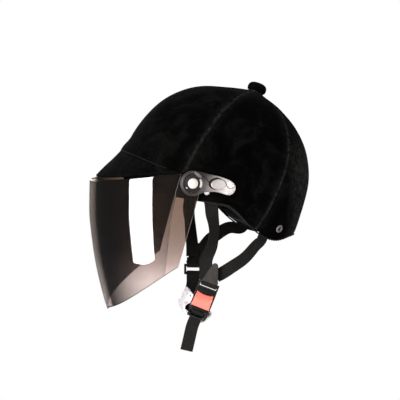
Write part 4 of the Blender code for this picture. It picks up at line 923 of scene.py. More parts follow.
# side covers in the plate's own frame: back, up, and out
COVER_EDGE = [(0.7, 15.8), (9.3, 14.4), (21, 11.2), (33.4, 8.2), (42.7, 5.0), (48.9, 1.8), (52.5, -2.0), (53.7, -5.9),
              (52.5, -10.6), (48.9, -14.0), (44.3, -14.9), (39.7, -13.7), (33.4, -11.7), (26.4, -10.6), (20.1, -10.6),
              (13.9, -11.3), (9.3, -12.9), (4.6, -14.9)]
side_line = spline([(a, b, 0) for a, b in COVER_EDGE])(np.linspace(0, 1, 120))[:, :2]
arc = np.array([(15.6 * math.cos(math.radians(t)), 15.6 * math.sin(math.radians(t))) for t in np.linspace(-79, -272, 62)])
COVER_LINE = np.concatenate([side_line, arc[1:-1]])
MIDDLE = np.array([16.0, -1.0])


def edge_distance(ab):
    a, b = COVER_LINE, np.roll(COVER_LINE, -1, 0)
    d = b - a
    q = ab[..., None, :] - a
    t = np.clip(np.sum(q * d, -1) / np.maximum(np.sum(d * d, -1), 1e-9), 0, 1)
    return np.min(np.linalg.norm(q - d * t[..., None], axis=-1), -1)


def cover_top(ab):
    """Height of the cover's crowned face over the hub axis plane."""
    a, b = ab[..., 0], ab[..., 1]
    crest = 107.4 - 3.1 * np.clip(a / 54, 0, 1) ** 2 - 0.35 * np.clip(a - 6, 0, 8) / 8
    d = edge_distance(ab)
    lip = np.where(a < 0, 3.2, np.interp(a, [0, 16, 40], [3.2, 5.5, 7.5]))
    k = np.clip(d / lip, 0, 1)
    low = np.interp(a, [0, 14, 26, 54], [104.9, 104.4, 103.0, 102.3])
    # a raised ridge sweeps down from the hub in front of the oval
    ridge = 0.5 * np.exp(-(((a - 17.2 + 0.72 * b) / 3.0) ** 2)) * np.clip(d / 3, 0, 1)
    return low + (crest - low) * np.sqrt(np.clip(1 - (1 - k) ** 2, 0, 1)) + ridge


def strip(points, half, sink):
    """A cutter along a line on the cover's face."""
    p = spline([(a, b, 0) for a, b in points])(np.linspace(0, 1, 36))[:, :2]
    t = unit(np.gradient(p, axis=0))
    n = np.stack([-t[:, 1], t[:, 0]], 1)
    low = cover_top(p) - sink
    return [np.stack([np.r_[q - m * half, 112.0], np.r_[q + m * half, 112.0], np.r_[q + m * half * 0.6, z], np.r_[q - m * half * 0.6, z]]) for q, m, z in zip(p, n, low)]


def sector(r0, r1, a0, a1, x0, x1, lip=0.35, n=18):
    """A piece of a ring with softened upper edges."""
    rings = []
    for t in np.radians(np.linspace(a0, a1, n)):
        c = np.array([math.cos(t), math.sin(t)])
        rings.append([np.r_[c * r, x] for r, x in ((r0, x0), (r0, x1 - lip), (r0 + lip, x1), (r1 - lip, x1), (r1, x1 - lip), (r1, x0))])
    return tube(rings)


def plate_round(profile, at=(0.0, 0.0), rx=1.0, ry=1.0, steps=64):
    v, f = lathe(profile, (0, 0, 0), (0, 0, 1), steps)
    return np.stack([at[0] + v[:, 0] * rx, at[1] + v[:, 1] * ry, v[:, 2]], 1), f


for side, sign in (("left", 1), ("right", -1)):
    def world(p):
        p = np.asarray(p, float)
        return np.stack([sign * p[..., 2], HUB_Y + p[..., 0], HUB_Z + p[..., 1]], -1)

    share = np.concatenate([[1.0, 0.992, 0.98, 0.962, 0.94, 0.91, 0.87, 0.82], np.linspace(0.76, 0.06, 20)])
    ab = MIDDLE + (COVER_LINE[None] - MIDDLE) * share[:, None, None]
    tops = np.concatenate([ab, cover_top(ab)[..., None]], -1)
    r = np.linalg.norm(COVER_LINE, axis=1)
    low = np.interp(r, [16.6, 18.4], [103.75, 101.5])
    lows = [np.concatenate([MIDDLE + (COVER_LINE - MIDDLE) * s, np.interp(np.linalg.norm(MIDDLE + (COVER_LINE - MIDDLE) * s, axis=1), [16.6, 18.4], [103.75, 101.5])[:, None]], -1)
            for s in (0.02, 0.06, 0.1, 0.15, 0.25, 0.35, 0.55, 0.75, 0.9, 0.985)]
    sections = np.concatenate([np.array(lows), [np.concatenate([COVER_LINE, (low + 0.5)[:, None]], 1)], tops])
    v, f = tube(world(sections))
    cover = put("visor_side_cover_" + side, v, f, [TRIM, ROTOR, STEEL], "helmet", "visor_side_cover_" + side, "gunmetal_plastic")
    ovals = lambda rx, ry, x0, x1: plate_round([(0, x1), (1, x1), (1, x0), (0, x0)], CAP_AT + np.array([-1.45, 1.0]), rx, ry, 72)
    cuts = [plate_round([(0, 112), (11.6, 112), (11.6, 105.5), (0, 105.5)], steps=72),
            ovals(CAP_R[0] + 1.75, CAP_R[1] + 1.35, 104.9, 112), plate_round([(0, 112), (3.3, 112), (3.3, 98), (0, 98)], steps=32),
            tube(strip([(9.3, 11.1), (14.0, 8.2), (18.7, 2.9), (21.4, -1.6), (24.5, -6.4)], 0.75, 1.1)),
            tube(strip([(41.4, 0.4), (43.2, -4.7), (46.0, -6.7), (48.9, -6.6), (52.0, -4.2)], 0.55, 0.8))]
    carve(cover, *[(world(v), f, 1) for v, f in cuts])
    reshade(cover, 38)

    RIM_X = [float(cover_top(np.array([[-r * 0.94, r * 0.34]]))[0]) for r in (13.5, 15.15)]
    # hub: a dished bright disc behind a dark three-armed boss and a thin ring
    groups = [(*plate_round([(11.3, 105.62), (11.3, 105.8), (4.0, 106.1), (4.0, 105.62), (11.3, 105.62)][::-1], steps=72), 2)]
    groups += [(*sector(8.7, 11.25, a0, a1, 105.6, h), 1) for a0, a1, h in ((31, 118, 106.9), (119.5, 160, 106.75), (161.5, 208, 106.9), (222, 329, 106.9))]
    groups += [(*sector(10.2, 11.25, 208, 222, 105.6, 106.8, n=8), 1), (*plate_round([(8.8, 105.6), (8.8, 106.45), (8.5, 106.6), (4.2, 106.6), (4.2, 105.6), (8.8, 105.6)][::-1], steps=72), 1)]
    # two thin ridges round the hub are coloured pale as painted highlight lines
    groups += [(*plate_round([(r + 0.2, x - 0.3), (r + 0.2, x), (r, x + 0.12), (r - 0.2, x), (r - 0.2, x - 0.3), (r + 0.2, x - 0.3)][::-1], steps=96), 3) for r, x in ((13.5, RIM_X[0]), (15.15, RIM_X[1]))]
    leaf = np.array([[6.2 + 6.1 * q * 0.789 + 0.615 * w, 10.5 - 6.1 * q * 0.615 + 0.789 * w] for q, w in
                     [(math.cos(t), 1.9 * math.sin(t) * abs(math.sin(t)) ** 0.3) for t in np.linspace(0, math.tau, 40, endpoint=False)]])
    mid_leaf = leaf.mean(0)
    rings = [np.column_stack([mid_leaf + (leaf - mid_leaf) * q, np.full(40, h)]) for q, h in ((1.0, 106.4), (1.0, 107.5), (0.94, 107.75), (0.7, 107.85), (0.1, 107.9))]
    groups += [(*tube(rings), 3)]
    groups += [(*plate_round([(12.9, 107.1), (12.75, 107.65), (12.2, 107.8), (11.7, 107.6), (11.5, 107.0), (11.5, 106.4), (12.9, 106.4), (12.9, 107.1)][::-1], steps=96), 0)]
    v, f, tags = merge(*groups)
    put("hub_boss_" + side, world(v), f, [TRIM, ROTOR, PALE, GREY], "helmet", (), "gunmetal_plastic", face_mats=tags, sharp=35)

    # oval cap, domed, in its recess
    dome = [(0.0, 107.35)] + [(math.sin(t), 106.15 + 1.2 * math.cos(t) ** 0.8) for t in np.radians(np.linspace(8, 84, 14))] + [(1.0, 105.9), (0.985, 104.95), (0, 104.95)]
    v, f = plate_round(dome, CAP_AT, CAP_R[0], CAP_R[1], 80)
    v[:, 2] -= 0.0016 * np.clip(v[:, 0] - 20, 0, None) ** 2
    v[:, 2] = np.where(v[:, 2] < 104.6, 104.6, v[:, 2])
    put("oval_cap_" + side, world(v), f, TRIM, "helmet", "oval_cap_" + side, "gunmetal_plastic", sharp=35)

    # pivot screw: bright domed head with a fine shoulder
    head = [(0, 108.72)] + [(5.6 * math.sin(t), 106.5 + 2.2 * math.cos(t)) for t in np.radians(np.linspace(9, 74, 12))]
    head += [(5.7, 106.95), (6.1, 106.9), (6.2, 106.7), (6.1, 106.05), (3.0, 106.0), (3.0, 85.2), (2.7, 84.9), (0, 84.9)]
    v, f = plate_round(head, steps=64)
    put("pivot_screw_" + side, world(v), f, PALE, "helmet", "pivot_screw_" + side, "bright_steel", sharp=35)
    base = [(3.3, BASE_X - 0.3), (3.6, BASE_X), (10.5, BASE_X), (11.0, BASE_X - 0.6), (11.0, 97.0), (3.3, 97.0)]
    v, f = lathe(base, (0, 0, 0), (0, 0, 1), 64, closed=True)
    skin = by_side(HUB_Y, HUB_Z)
    ob = put("pivot_base_" + side, world(v), f, DARK, "helmet", "pivot_base_" + side, "black_plastic", sharp=35)

# -------------------------------------------------------------------- harness
for side, sign in (("left", 1), ("right", -1)):
    def inside(end, y, z):
        p = by_side(y, z, sign)
        return p - normal(p) * STRAP_DEPTH[end]

    front = [inside("front", *q) for q in ((-25.8, -95.5), (-22.7, -102.9), (-19.2, -111.0), (-17.6, -115.5))]
    rear = [inside("rear", *q) for q in ((79.0, -146.8), (73.1, -150.7), (65.0, -155.6), (58.0, -159.8))]
    fw = [np.array([0, 0.93, 0.36])] * 4
    rear_w = [unit(np.cross(normal(by_side(73.1, -150.7, sign)), unit(rear[-1] - rear[0]))) * -sign] * 4
    if side == "left":
        front += [np.array(q) for q in ((88.3, -15.2, -127.3), (85.5, -12.9, -138.6), (82.5, -11.3, -150.1), (79, -11.7, -161.6), (74.5, -15.2, -177))]
        front += [buckle_at(-15.2, 0, -33), buckle_at(-11.8, 0, -23.5), buckle_at(-6.5, 0, -7.4)]
        slant = unit(bw * 0.94 - bd * 0.34)
        fw = fw + [np.array([-0.1, 1, 0.15]), np.array([-0.5, 1, 0.1]), np.array([-0.7, 1, 0.0]), np.array([-0.72, 1, -0.05]), np.array([-0.3, 1, -0.1]), slant, slant, slant]
        rear += [np.array(q) for q in ((66.8, 51.5, -165.8), (66.0, 46.6, -170.8), (65.6, 40.5, -177.4), (65.4, 33.6, -185.2), (65.4, 24.8, -192.4), (66.0, 14.4, -198.8))]
        rear += [buckle_at(9.4, -5.7, -20.9), buckle_at(4.6, -4.8, -15.8)]
        turn = unit(np.cross(bn, unit(buckle_at(4.6, 0, -15.8) - buckle_at(9.4, 0, -20.9))))
        turn = turn if turn @ rear_w[0] > 0 else -turn
        rear_w = rear_w + [unit(rear_w[0] * (1 - k) + turn * k) for k in np.linspace(0.1, 1, 8)]
    else:
        front += [np.array(q) for q in ((-86.5, -19.0, -132), (-80, -18.8, -151.5), (-73.4, -18, -170.6))] + [ring_at(1.0, 0, -28), ring_at(1.0, 0, -17.5)]
        fw = fw + [np.array([-0.3, 1, 0.05]), np.array([-0.55, 1, 0]), np.array([-0.3, 1, 0]), -rw, -rw]
        rear += [np.array(q) for q in ((-67.8, 49.5, -161.4), (-69, 38, -160.8), (-69, 27, -163.6), (-68, 17, -169.8), (-66, 5.0, -178.5))]
        rear += [ring_at(-13.0, -4.6, -29.0), ring_at(-7.0, -4.5, -24.5)]
        turn = unit(np.cross(rn, unit(ring_at(-7, 0, -24.5) - ring_at(-13, 0, -29))))
        turn = turn if turn @ rear_w[0] > 0 else -turn
        rear_w = rear_w + [unit(rear_w[0] * (1 - k) + turn * k) for k in np.linspace(0.1, 1, 7)]
    for end, pts, ws, head in (("front", front, fw, 3.8), ("rear", rear, rear_w, 5.2)):
        strap = ribbon(f"strap_{side}_{end}", pts, ws, "helmet", f"strap_{side}_{end}", WEB)
        carve(strap, rivet_rod(sign, end))
        p = by_side(*RIVET_AT[end], sign)
        ax = normal(p)
        back = -STRAP_DEPTH[end] - 1.6
        if end == "rear":
            cap = [(0, 0.55), (1.5, 0.55), (2.1, 0.75), (2.5, 1.35), (3.0, 1.85), (3.6, 2.05), (4.3, 1.85), (4.9, 1.2), (5.2, 0.6), (5.15, 0.3)]
        else:
            cap = [(0, 2.2), (1.0, 2.15), (2.0, 1.9), (2.9, 1.4), (3.5, 0.8), (3.8, 0.45), (3.75, 0.3)]
        cap += [(1.8, 0.3), (1.8, back - 1.3), (2.9, back - 1.3), (3.1, back - 1.5), (3.0, back - 1.9), (2.6, back - 2.0), (0, back - 2.0)]
        v, f = lathe(cap, p, ax, 48)
        rivet = put(f"strap_rivet_{side}_{end}", v, f, [PALE if end == "front" else GREY, ROTOR], "helmet", f"strap_rivet_{side}_{end}", "bright_steel", sharp=50)
        if end == "rear":
            for poly in rivet.data.polygons:
                q = np.array(poly.center) / MM - p
                if q @ ax > 0.4 and np.linalg.norm(q - ax * (q @ ax)) < 2.2:
                    poly.material_index = 1


def divider(name, at, lean, top, mat, thread, shift=0.0, foot=0.0, narrow=3.2, wide=7.4):
    """The sewn patch that gathers two straps, edges turned under, with a row of stitches round it."""
    s, t = np.meshgrid(np.linspace(0, 1, 41), np.linspace(0, 1, 41), indexing="ij")
    x = 2 * s - 1

    def place(x, t, lift):
        half = narrow + wide * t**0.85 - 1.2 * np.clip(t - 0.85, 0, None) / 0.15 * 0.3
        a, b, c = lean * (1 - t) + foot * t + x * half, top + (4.25 - top) * t**1.6 + lift, -32.5 + 25.0 * t - 1.6 * (1 - x**2) * (1 - t) + shift
        o, w, n, d = at(0, 0, 0), at(1, 0, 0) - at(0, 0, 0), at(0, 1, 0) - at(0, 0, 0), at(0, 0, 1) - at(0, 0, 0)
        return o + a[..., None] * w + b[..., None] * n + c[..., None] * d

    rim = np.minimum(np.minimum(s, 1 - s) * 18, np.minimum(t, 1 - t) * 25)
    lift = 1.62 - 0.75 * np.clip(1 - rim / 1.1, 0, 1) ** 2 - 0.3 * np.exp(-(((rim - 2.1) / 0.5) ** 2)) + 0.25 * np.clip(rim / 8, 0, 1)
    v, f = shell(place(x, t, lift), place(x, t, 0 * x + 0.02))
    ob = put(name, v, f, mat, "helmet", name, "grey_patch", sharp=60)
    n = at(0, 1, 0) - at(0, 0, 0)
    k = np.linspace(0.08, 0.92, 30)
    border = [(-0.78 + 0 * k, k), (0.78 + 0 * k, k), (np.linspace(-0.74, 0.74, 20), np.full(20, 0.92))]
    for j, (xs, ts) in enumerate(border):
        path = place(np.asarray(xs, float), np.asarray(ts, float), np.full(len(xs), 1.42))
        stitches(f"{name}_stitching_{j + 1}", path, np.tile(n, (len(path), 1)), "helmet", thread, 2.0, 0.8, 0.24, "grey_patch")
    return ob


divider("divider_left", buckle_at, -1.5, 1.75, PATCH, THREAD)
divider("divider_right", ring_at, -8.0, 1.9, FAR_PATCH, GREY_THREAD, -2.0, -1.5, 5.0, 6.0)


def bar_loop(name, at, w, bar_low, top, width=STRAP_W - 0.4):
    half = [(0.95, top), (1.8, (top + bar_low) / 2 - 2.2), (2.6, bar_low - 4.2), (2.65, bar_low - 1.4), (2.05, bar_low + 0.4), (1.1, bar_low + 1.15)]
    path = half + [(0, bar_low + 1.35)] + [(-b, c) for b, c in half[::-1]]
    pts = [at(0, b, c) for b, c in path]
    return ribbon(name, pts, [w] * len(pts), "helmet", name, WEB, width)


bar_loop("buckle_loop", buckle_at, bw, -1.9, -9.2, 20.4)
bar_loop("ring_loop", ring_at, rw, -4.1, -16.0)


def extrude(outline, at, a0, a1):
    """An outline of (out, down) points run across a hanging frame."""
    return tube([[at(a, b, c) for b, c in outline] for a in (a0, a1)])


ring = put("strap_ring", *extrude([(-1.3, -7.2), (1.3, -7.2), (1.3, 7.2), (-1.3, 7.2)], ring_at, -12.2, 12.2), DARK, "helmet", "strap_ring", "black_plastic")
carve(ring, block((-9.3, -4, -4.1), (9.3, 4, 4.1), ring_at))
reshade(soften(ring, 0.75, 3), 50)

CUP_Y, CUP_Z, CUP_OUT = -30.0, -265.0, np.array([0, -0.643, -0.766])
CUP_ACROSS = np.array([0, -0.766, 0.643])
chin = [ring_at(0, -2.5, 17.0), ring_at(0, -2.6, 9.0), ring_at(0, -2.75, 5.5), ring_at(0, -2.2, 3.6), ring_at(0, -1.15, 2.75), ring_at(0, 0, 2.5),
        ring_at(0, 1.15, 2.75), ring_at(0, 2.2, 3.6), ring_at(0, 2.75, 5.5), ring_at(0, 2.7, 9.5), ring_at(0, 2.4, 18.0), np.array([-55.0, -21.0, -244.5]), np.array([-48.0, -26.8, -258.0]),
        np.array([-38.5, CUP_Y, CUP_Z]), np.array([-30, CUP_Y, CUP_Z]), np.array([0, CUP_Y, CUP_Z]), np.array([30, CUP_Y, CUP_Z]), np.array([35.0, CUP_Y, CUP_Z])]
ribbon("chin_strap", chin, [rw] * 11 + [unit(rw + CUP_ACROSS)] + [CUP_ACROSS] * 6, "helmet", "chin_strap", WEB)
end = [np.array([34.6, CUP_Y, CUP_Z]), np.array([38.6, CUP_Y + 0.3, CUP_Z + 0.2]), buckle_at(-0.5, -7.4, 41.0), buckle_at(0, -6.0, 37.2), buckle_at(0, -4.8, 33.9)]
strap_end = ribbon("chin_strap_end", end, [CUP_ACROSS, CUP_ACROSS, -bw, -bw, -bw], None, "chin_strap_end", WEB)
tuple(buckle_at(0, -4.8, 33.9) * MM)
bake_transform(strap_end)
tail = [buckle_at(0, b, c) for b, c in ((-3.5, 34.3), (-1.6, 34.5), (0.5, 35.1), (1.75, 36.5), (1.95, 37.5), (1.75, 38.6), (0.5, 39.9), (-1.5, 40.6),
                                       (-3.3, 41.5), (-4.15, 43.2), (-4.5, 45.4))]
tail += [np.array([43.0, -32.2, -273.7]), np.array([42.6, -36.2, -288.7]), np.array([42.0, -40.8, -308.7])]
ribbon("strap_tail", tail, [bw] * 11 + [unit(bw + np.array([0.1, 1, -0.1])), np.array([0.12, 1, -0.2]), np.array([0.12, 1, -0.22])], "tongue", "strap_tail", WEB, STRAP_W - 1.0)

# --------------------------------------------------------------------- buckle
HB = 13.2
housing = put("buckle_housing", *extrude([(-1.3, -6.2), (1.3, -6.2), (1.3, 2.4), (5.5, 6.6), (5.5, 30), (-8, 30), (-8, 8.0), (-1.3, 2.4)], buckle_at, -HB, HB),
              DARK, "helmet", "buckle_housing", "black_plastic")
soften(carve(housing, block((-10.9, -6, -1.9), (10.9, 6, 1.6), buckle_at), block((-9.3, -2.7, 27.0), (9.3, 0.7, 33), buckle_at)), 0.6, 3)
carve(housing, block((-12.55, -6.7, 7.1), (12.55, 9, 28.6), buckle_at))
reshade(housing, 50)

ks, ts = np.meshgrid(np.linspace(-1, 1, 45), np.linspace(0, 1, 45), indexing="ij")
aa = ks * (10.9 + 1.4 * ts)
ctop = 7.6 + 2.3 * np.clip(1 - (aa / 10.9) ** 2, 0, None)
cc = ctop + (28.2 - ctop) * ts
rim = np.minimum((1 - np.abs(ks)) * 11, np.minimum(ts, 1 - ts) * 19)
soft = 0.75 * (1 - np.sqrt(np.clip(1 - (1 - np.clip(rim / 0.9, 0, 1)) ** 2, 0, 1)))
# thumb scoop: hollowed towards the top, ending in a curved step
step = 17.2 - 1.4 * (aa / 10) ** 2
scoop = 1.15 / (1 + np.exp((cc - step) / 0.45)) * np.clip((cc - ctop) / 6.5, 0, 1) ** 0.8 * np.clip((1 - np.abs(ks)) / 0.14, 0, 1) ** 0.7
bb = 6.55 - soft - scoop - 0.25 * np.clip((cc - 22) / 6, 0, 1) ** 2
grid_at = lambda a, b, c: buckle_at(0, 0, 0) + a[..., None] * bw + b[..., None] * bn + c[..., None] * bd
v, f = shell(grid_at(aa, bb, cc), grid_at(aa, 0 * bb + 2.6, cc))
put("release_button", v, f, RED, "buckle_button", "release_button", "red_button", sharp=55)

# return spring: a coil behind the button
rings = []
for t in np.linspace(0, 1, 181):
    g = math.tau * 5 * t
    away = bw * math.cos(g) + bd * math.sin(g)
    rings.append([buckle_at(0, -6.0 + 7.9 * t, 14.3) + away * (2.0 + 0.35 * math.cos(q)) + bn * (0.35 * math.sin(q)) for q in np.linspace(0, math.tau, 8, endpoint=False)])
spring = put("button_spring", *tube(rings), BLUED, "helmet", "button_spring", "bright_steel", sharp=60)
tuple(bn)
tuple(buckle_at(0, -6.4, 14.3) * MM)
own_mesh(spring)

tongue = put("buckle_tongue", *extrude([(-3.5, 30.4), (5, 30.4), (5, 31.8), (3.2, 33.6), (3.2, 44.6), (-2.2, 44.6), (-2.2, 33.0), (-3.5, 32.2)], buckle_at, -12, 12),
             DARK, "tongue", "buckle_tongue", "black_plastic")
carve(tongue, block((-8.9, -2.3, 17.3), (8.9, 0.3, 31.4), buckle_at), op="UNION")
carve(tongue, block((-10.6, -8, 32.9), (10.6, 8, 36.0), buckle_at), block((-10.6, -8, 38.9), (10.6, 8, 42.9), buckle_at),
      block((-10.6, 0.4, 35.0), (10.6, 8, 40.0), buckle_at))
reshade(soften(tongue, 0.5, 3), 50)

# ------------------------------------------------------------------- chin cup
CUP_HALF, STRAP_R = 28.0, 21.0
cup_centre = np.array([0, CUP_Y, CUP_Z]) - CUP_OUT * STRAP_R
CUP_ANGLE = math.degrees(math.atan2(CUP_OUT[2], CUP_OUT[1]))


def cup_at(u, v, r):
    u, v = np.broadcast_arrays(np.asarray(u, float), np.asarray(v, float))
    x = (2 * u - 1) * CUP_HALF
    delta = -80 + 174 * v
    delta = delta * (1 - np.where(delta < 0, 0.42, 0.08) * np.abs(x / CUP_HALF) ** 4)
    # the upper corners curl in round the chin
    s, k = np.clip((np.abs(x) - 18) / 10, 0, 1), np.clip((delta - 36) / 26, 0, 1)
    rr = r(delta, u, v) - 8.5 * s * s * k * k * (3 - 2 * k)
    a = np.radians(CUP_ANGLE - delta)
    return cup_centre + np.stack([x, rr * np.cos(a), rr * np.sin(a)], -1)


def cup_radius(delta):
    k = np.clip((np.abs(delta) - 33) / 27, 0, 1)
    return 24.7 - 4.4 * k * k * (3 - 2 * k)


cu = np.unique(np.concatenate([np.linspace(0, 1, 57), [0.004, 0.012, 0.026, 0.974, 0.988, 0.996]]))
cv = np.unique(np.concatenate([np.linspace(0, 1, 65), [0.003, 0.008, 0.016, 0.984, 0.992, 0.997]]))
uu, vv = np.meshgrid(cu, cv, indexing="ij")


def edge_mm(u, v):
    return np.minimum(np.minimum(u, 1 - u) * 2 * CUP_HALF, np.minimum(v, 1 - v) * 66.0)


def thick(u, v):
    k = np.clip(1 - edge_mm(u, v) / 1.1, 0, 1)
    return 1.0 * np.sqrt(np.clip(1 - k * k, 0.03, 1)) + 0.25 * np.exp(-(((edge_mm(u, v) - 1.2) / 0.8) ** 2))


v, f = shell(cup_at(uu, vv, lambda d, u, v: cup_radius(d) + 1.0 + thick(u, v)), cup_at(uu, vv, lambda d, u, v: cup_radius(d) + 1.0 - np.minimum(thick(u, v), 1.0)))
cup = put("chin_cup", v, f, WHITE, "chin_piece", "chin_cup", "white_cup", sharp=50)
vents = []
for x in (-18.0, -9.0, 0.0, 9.0, 18.0):
    for k in (0.07, 0.93):
        p = cup_at((x / CUP_HALF + 1) / 2, k, lambda d, u, v: cup_radius(d) + 1.0)
        n = unit(np.array([0, *(p - cup_centre)[1:]]))
        vents.append(rod(p - n * 4, p + n * 5, 1.0, 20))
for x in (-24.0, 24.0):
    face = lambda d, u, v: cup_radius(d) + 1.0
    q = (x / CUP_HALF + 1) / 2
    p, px, pv = cup_at(q, 0.92, face), cup_at(q + 0.004, 0.92, face), cup_at(q, 0.924, face)
    n = unit(np.cross(px - p, pv - p))
    vents.append(rod(p - n * 2.6, p + n * 2.6, 1.15, 20))
carve(cup, *vents)
reshade(cup, 45)

pu, pv = np.meshgrid(np.linspace(0.03, 0.97, 49), np.linspace(0.04, 0.96, 57), indexing="ij")
puff = lambda u, v: 1 - np.maximum(np.abs(2 * (u - 0.5) / 0.94), np.abs(2 * (v - 0.5) / 0.92)) ** 6
quilt = lambda u, v: 0.55 * np.exp(-(((np.abs(v - 0.5) - 0.2) / 0.022) ** 2)) + 0.45 * np.exp(-((np.abs(u - 0.5) - 0.24) / 0.03) ** 2)
v, f = shell(cup_at(pu, pv, lambda d, u, v: 19.4 - 0.7 * (1 - puff(u, v))), cup_at(pu, pv, lambda d, u, v: 19.3 - 0.8 - 2.6 * np.clip(puff(u, v), 0, 1) ** 0.5 * (1 - quilt(u, v))))
pad = put("chin_pad", v, f, LINING, "chin_piece", "chin_pad", "lining_fabric", sharp=70)

# --------------------------------------------------------------------- inside
th = np.linspace(0, 360, 180, endpoint=False)[:, None]
vs = np.concatenate([np.linspace(0, 0.985, 46), [0.99, 0.995, 1.0]])[None]
phi = PHI_0 + (rim_phi(th[:, 0])[:, None] - PHI_0) * vs
rimmed = np.clip((1 - vs) / 0.02, 0, 1)
ribs = 1.4 * np.clip(np.cos(np.radians(th * 8)) * 2.6 - 1.7, 0, 1) * np.clip((phi - 34) / 8, 0, 1) * np.clip((92 - phi) / 8, 0, 1)
v, f = shell(crown(th, phi, LINER[0] + 1.2 * (1 - rimmed) ** 2), crown(th, phi, LINER[1] - ribs - 1.6 * (1 - rimmed) ** 2), wrap=True)
liner = put("impact_liner", v, f, FOAM, "helmet", "impact_liner", "impact_foam", sharp=50)

band_reach = lambda t: 4.9 * np.exp(-((np.abs((t + 180) % 360 - 180) - 113) / 26) ** 2)
th = np.linspace(0, 360, 336, endpoint=False)[:, None]
vs = np.concatenate([[0, 0.01, 0.025, 0.05], np.linspace(0.09, 0.91, 26), [0.95, 0.975, 0.99, 1.0]])[None]
low = rim_phi(th[:, 0])[:, None]
phi = (low - 30) + (28.5 + band_reach(th)) * vs
cell = np.abs(((th / 360 * 24) % 1) - 0.5) * 2
swell = (1 - cell**5) * np.clip(1 - np.abs(2 * vs - 1) ** 7, 0, 1) ** 0.6
line = np.exp(-(((vs - 0.8) / 0.018) ** 2))
v, f = shell(crown(th, phi, BAND[0] + 0.7 * (1 - np.clip(1 - np.abs(2 * vs - 1) ** 8, 0, 1)) + 0 * th), crown(th, phi, 25.3 + 3.9 * swell * (1 - 0.55 * line)), wrap=True)
band = put("headband_pad", v, f, LINING, "helmet", "headband_pad", "lining_fabric", sharp=75)

ang = np.linspace(0, math.tau, 96, endpoint=False)[:, None]
fr = np.concatenate([np.linspace(0.02, 0.9, 24), [0.94, 0.97, 0.99, 1.0]])[None]


def pad_dir(a, f):
    f = np.radians(22.0 * f)
    return np.stack([np.sin(f) * np.cos(a), np.sin(f) * np.sin(a), np.cos(f) + 0 * a], -1)


q = outer(pad_dir(ang, fr))
upper = q - normal(q) * (LINER[1] + 1.4)
upper[..., 2] -= 2.2 * (np.clip((fr - 0.86) / 0.14, 0, 1) ** 2)
sew = 0.9 * np.exp(-((np.sin(ang * 3) * fr * 16) / 1.0) ** 2) * np.clip(fr / 0.2, 0, 1) + 0.9 * np.exp(-(((fr - 0.42) * 33 / 1.0) ** 2)) * (1 + 0 * ang)
lower = np.stack([upper[..., 0], upper[..., 1], np.clip(sew, 0, 1.1) + 2.4 * np.clip((fr - 0.84) / 0.16, 0, 1) ** 2.2 + 0 * ang], -1)
v, f = shell(upper, lower, wrap=True)
n = ang.size
m = fr.size
f = list(f)
top_ring = [i * m for i in range(n)]
low_ring = [n * m + i * m for i in range(n)]
f = [p for p in f if not (set(p) <= set(top_ring) | set(low_ring))]
v = np.concatenate([v, [upper[:, 0].mean(0)], [lower[:, 0].mean(0)]])
for i in range(n):
    k = (i + 1) % n
    f += [(top_ring[k], top_ring[i], len(v) - 2), (low_ring[i], low_ring[k], len(v) - 1)]
crown_pad = put("crown_pad", v, f, LINING, "helmet", "crown_pad", "lining_fabric", sharp=75)

# ------------------------------------------------------------ carried-over solids
for name, ob in NODES.items():
    slots = {"hard_shell": ABS, "peak_core": ABS, "button_core": DARK, "button_washer": DULL, "button_nut": DULL, "latch_plate": BLUED, "button_spring": BLUED}
    mat = slots.get(name)
    if mat is None:
        mat = DULL if ("washer" in name or "nut" in name or "screw" in name) else DARK
    ob.data.materials.clear()
    ob.data.materials.append(mat)

# ---------------------------------------------------------- floor, light, camera
def path_light(tree, camera, through, gloss, soft, backdrop=None):
    """Strength by what kind of ray looks at it: a white studio that mirrors only as the lit backdrop."""
    lp = tree.nodes.new("ShaderNodeLightPath")

    def op(kind, a, b):
        n = tree.nodes.new("ShaderNodeMath")
        n.operation = kind
        for s, v in zip(n.inputs, (a, b)):
            if isinstance(v, bpy.types.NodeSocket):
                tree.links.new(v, s)
            else:
                s.default_value = v
        return n.outputs[0]

    if backdrop:
        way, bright = backdrop
        dot = tree.nodes.new("ShaderNodeVectorMath")
        dot.operation = "DOT_PRODUCT"
        tree.links.new(tree.nodes.new("ShaderNodeTexCoord").outputs["Generated"], dot.inputs[0])
        dot.inputs[1].default_value = way
        fade = tree.nodes.new("ShaderNodeMapRange")
        fade.interpolation_type = "SMOOTHSTEP"
        tree.links.new(dot.outputs["Value"], fade.inputs["Value"])
        for k, v in (("From Min", 0.5), ("From Max", 0.95), ("To Min", gloss), ("To Max", bright)):
            fade.inputs[k].default_value = v
        gloss = fade.outputs["Result"]
    total = op("MULTIPLY", lp.outputs["Is Camera Ray"], camera)
    total = op("ADD", total, op("MULTIPLY", lp.outputs["Is Transmission Ray"], through))
    total = op("ADD", total, op("MULTIPLY", lp.outputs["Is Glossy Ray"], gloss))
    return op("ADD", total, op("MULTIPLY", lp.outputs["Is Diffuse Ray"], soft))


STUDIO = (1.0, 7.0, 0.12, 0.45)
world = bpy.data.worlds.new("studio")
bpy.context.scene.world = world
world.use_nodes = True
back = world.node_tree.nodes["Background"]
back.inputs["Color"].default_value = (1, 1, 1, 1)
world.node_tree.links.new(path_light(world.node_tree, *STUDIO, ((-0.987, 0.1475, 0.0), 2.2)), back.inputs["Strength"])

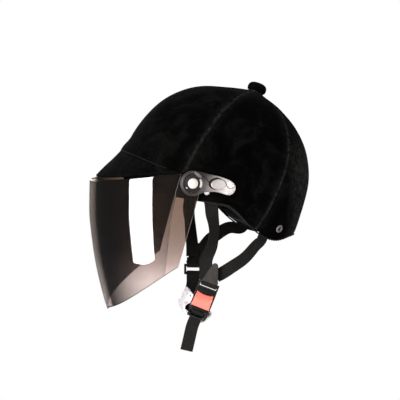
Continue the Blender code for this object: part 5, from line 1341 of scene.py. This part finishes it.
me = bpy.data.meshes.new("floor")
bm = bmesh.new()
bmesh.ops.create_grid(bm, x_segments=4, y_segments=4, size=62.0)
bm.to_mesh(me)
bm.free()
floor = bpy.data.objects.new("floor", me)
floor.location = (0, 0, -2.6)
bpy.context.scene.collection.objects.link(floor)
fm = bpy.data.materials.new("pale_floor")
fm.use_nodes = True
fm.node_tree.nodes.clear()
glow = fm.node_tree.nodes.new("ShaderNodeEmission")
out = fm.node_tree.nodes.new("ShaderNodeOutputMaterial")
glow.inputs["Color"].default_value = (1, 1, 1, 1)
fm.node_tree.links.new(path_light(fm.node_tree, *STUDIO), glow.inputs["Strength"])
fm.node_tree.links.new(glow.outputs[0], out.inputs["Surface"])
me.materials.append(fm)
floor.visible_shadow = False


def softbox(name, centre, aim, width, height, radiance, colour=(1, 1, 1), roll=0.0):
    d = bpy.data.lights.new(name, "AREA")
    d.shape, d.size, d.size_y = "RECTANGLE", width, height
    d.energy = 4 * width * height * radiance
    d.color = colour
    o = bpy.data.objects.new(name, d)
    o.location = centre
    o.rotation_mode = "QUATERNION"
    o.rotation_quaternion = (Vector(aim) - Vector(centre)).to_track_quat("-Z", "Y") @ Quaternion((0, 0, 1), math.radians(roll))
    bpy.context.scene.collection.objects.link(o)
    o.visible_camera = False
    o.visible_transmission = False
    return o


# the key's shine and its light on matt surfaces are balanced apart, as with a polarised window
softbox("key_shine", (1.888, -1.696, 0.0), (0.0, 0.0, 0.0), 1.403, 1.81, 20.0, roll=2.8).visible_diffuse = False
softbox("key_softbox", (1.888, -1.696, 0.02), (0.0, 0.0, 0.02), 1.403, 1.76, 8.2).visible_glossy = False
softbox("low_fill", (1.5, -1.3, -1.0), (0.0, 0.0, -0.2), 1.2, 1.0, 6.0).visible_glossy = False
softbox("side_fill", (1.9, 1.3, 0.5), (0.0, 0.0, -0.1), 1.8, 1.6, 1.3)
softbox("top_fill", (0.2, 0.3, 2.0), (0.0, 0.0, -0.1), 1.8, 1.8, 1.1)
softbox("rear_fill", (-1.6, 1.6, 0.9), (0.0, 0.0, -0.1), 1.6, 1.6, 1.6)

AZ, EL, DIST = math.radians(81.5), math.radians(3.8), 1.7
target = Vector((0.0, -0.0169, -0.1183))
away = Vector((math.sin(AZ) * math.cos(EL), -math.cos(AZ) * math.cos(EL), math.sin(EL)))
cd = bpy.data.cameras.new("camera")
cd.sensor_width, cd.lens = 36.0, 36.0 * (1700 / 1.3) / 400 * 0.995
cd.clip_start, cd.clip_end = 0.05, 100.0
cam = bpy.data.objects.new("camera", cd)
cam.location = target + away * DIST
cam.rotation_mode = "QUATERNION"
cam.rotation_quaternion = (-away).to_track_quat("-Z", "Y")
bpy.context.scene.collection.objects.link(cam)
bpy.context.scene.camera = cam
bpy.context.scene.view_settings.view_transform = "Standard"
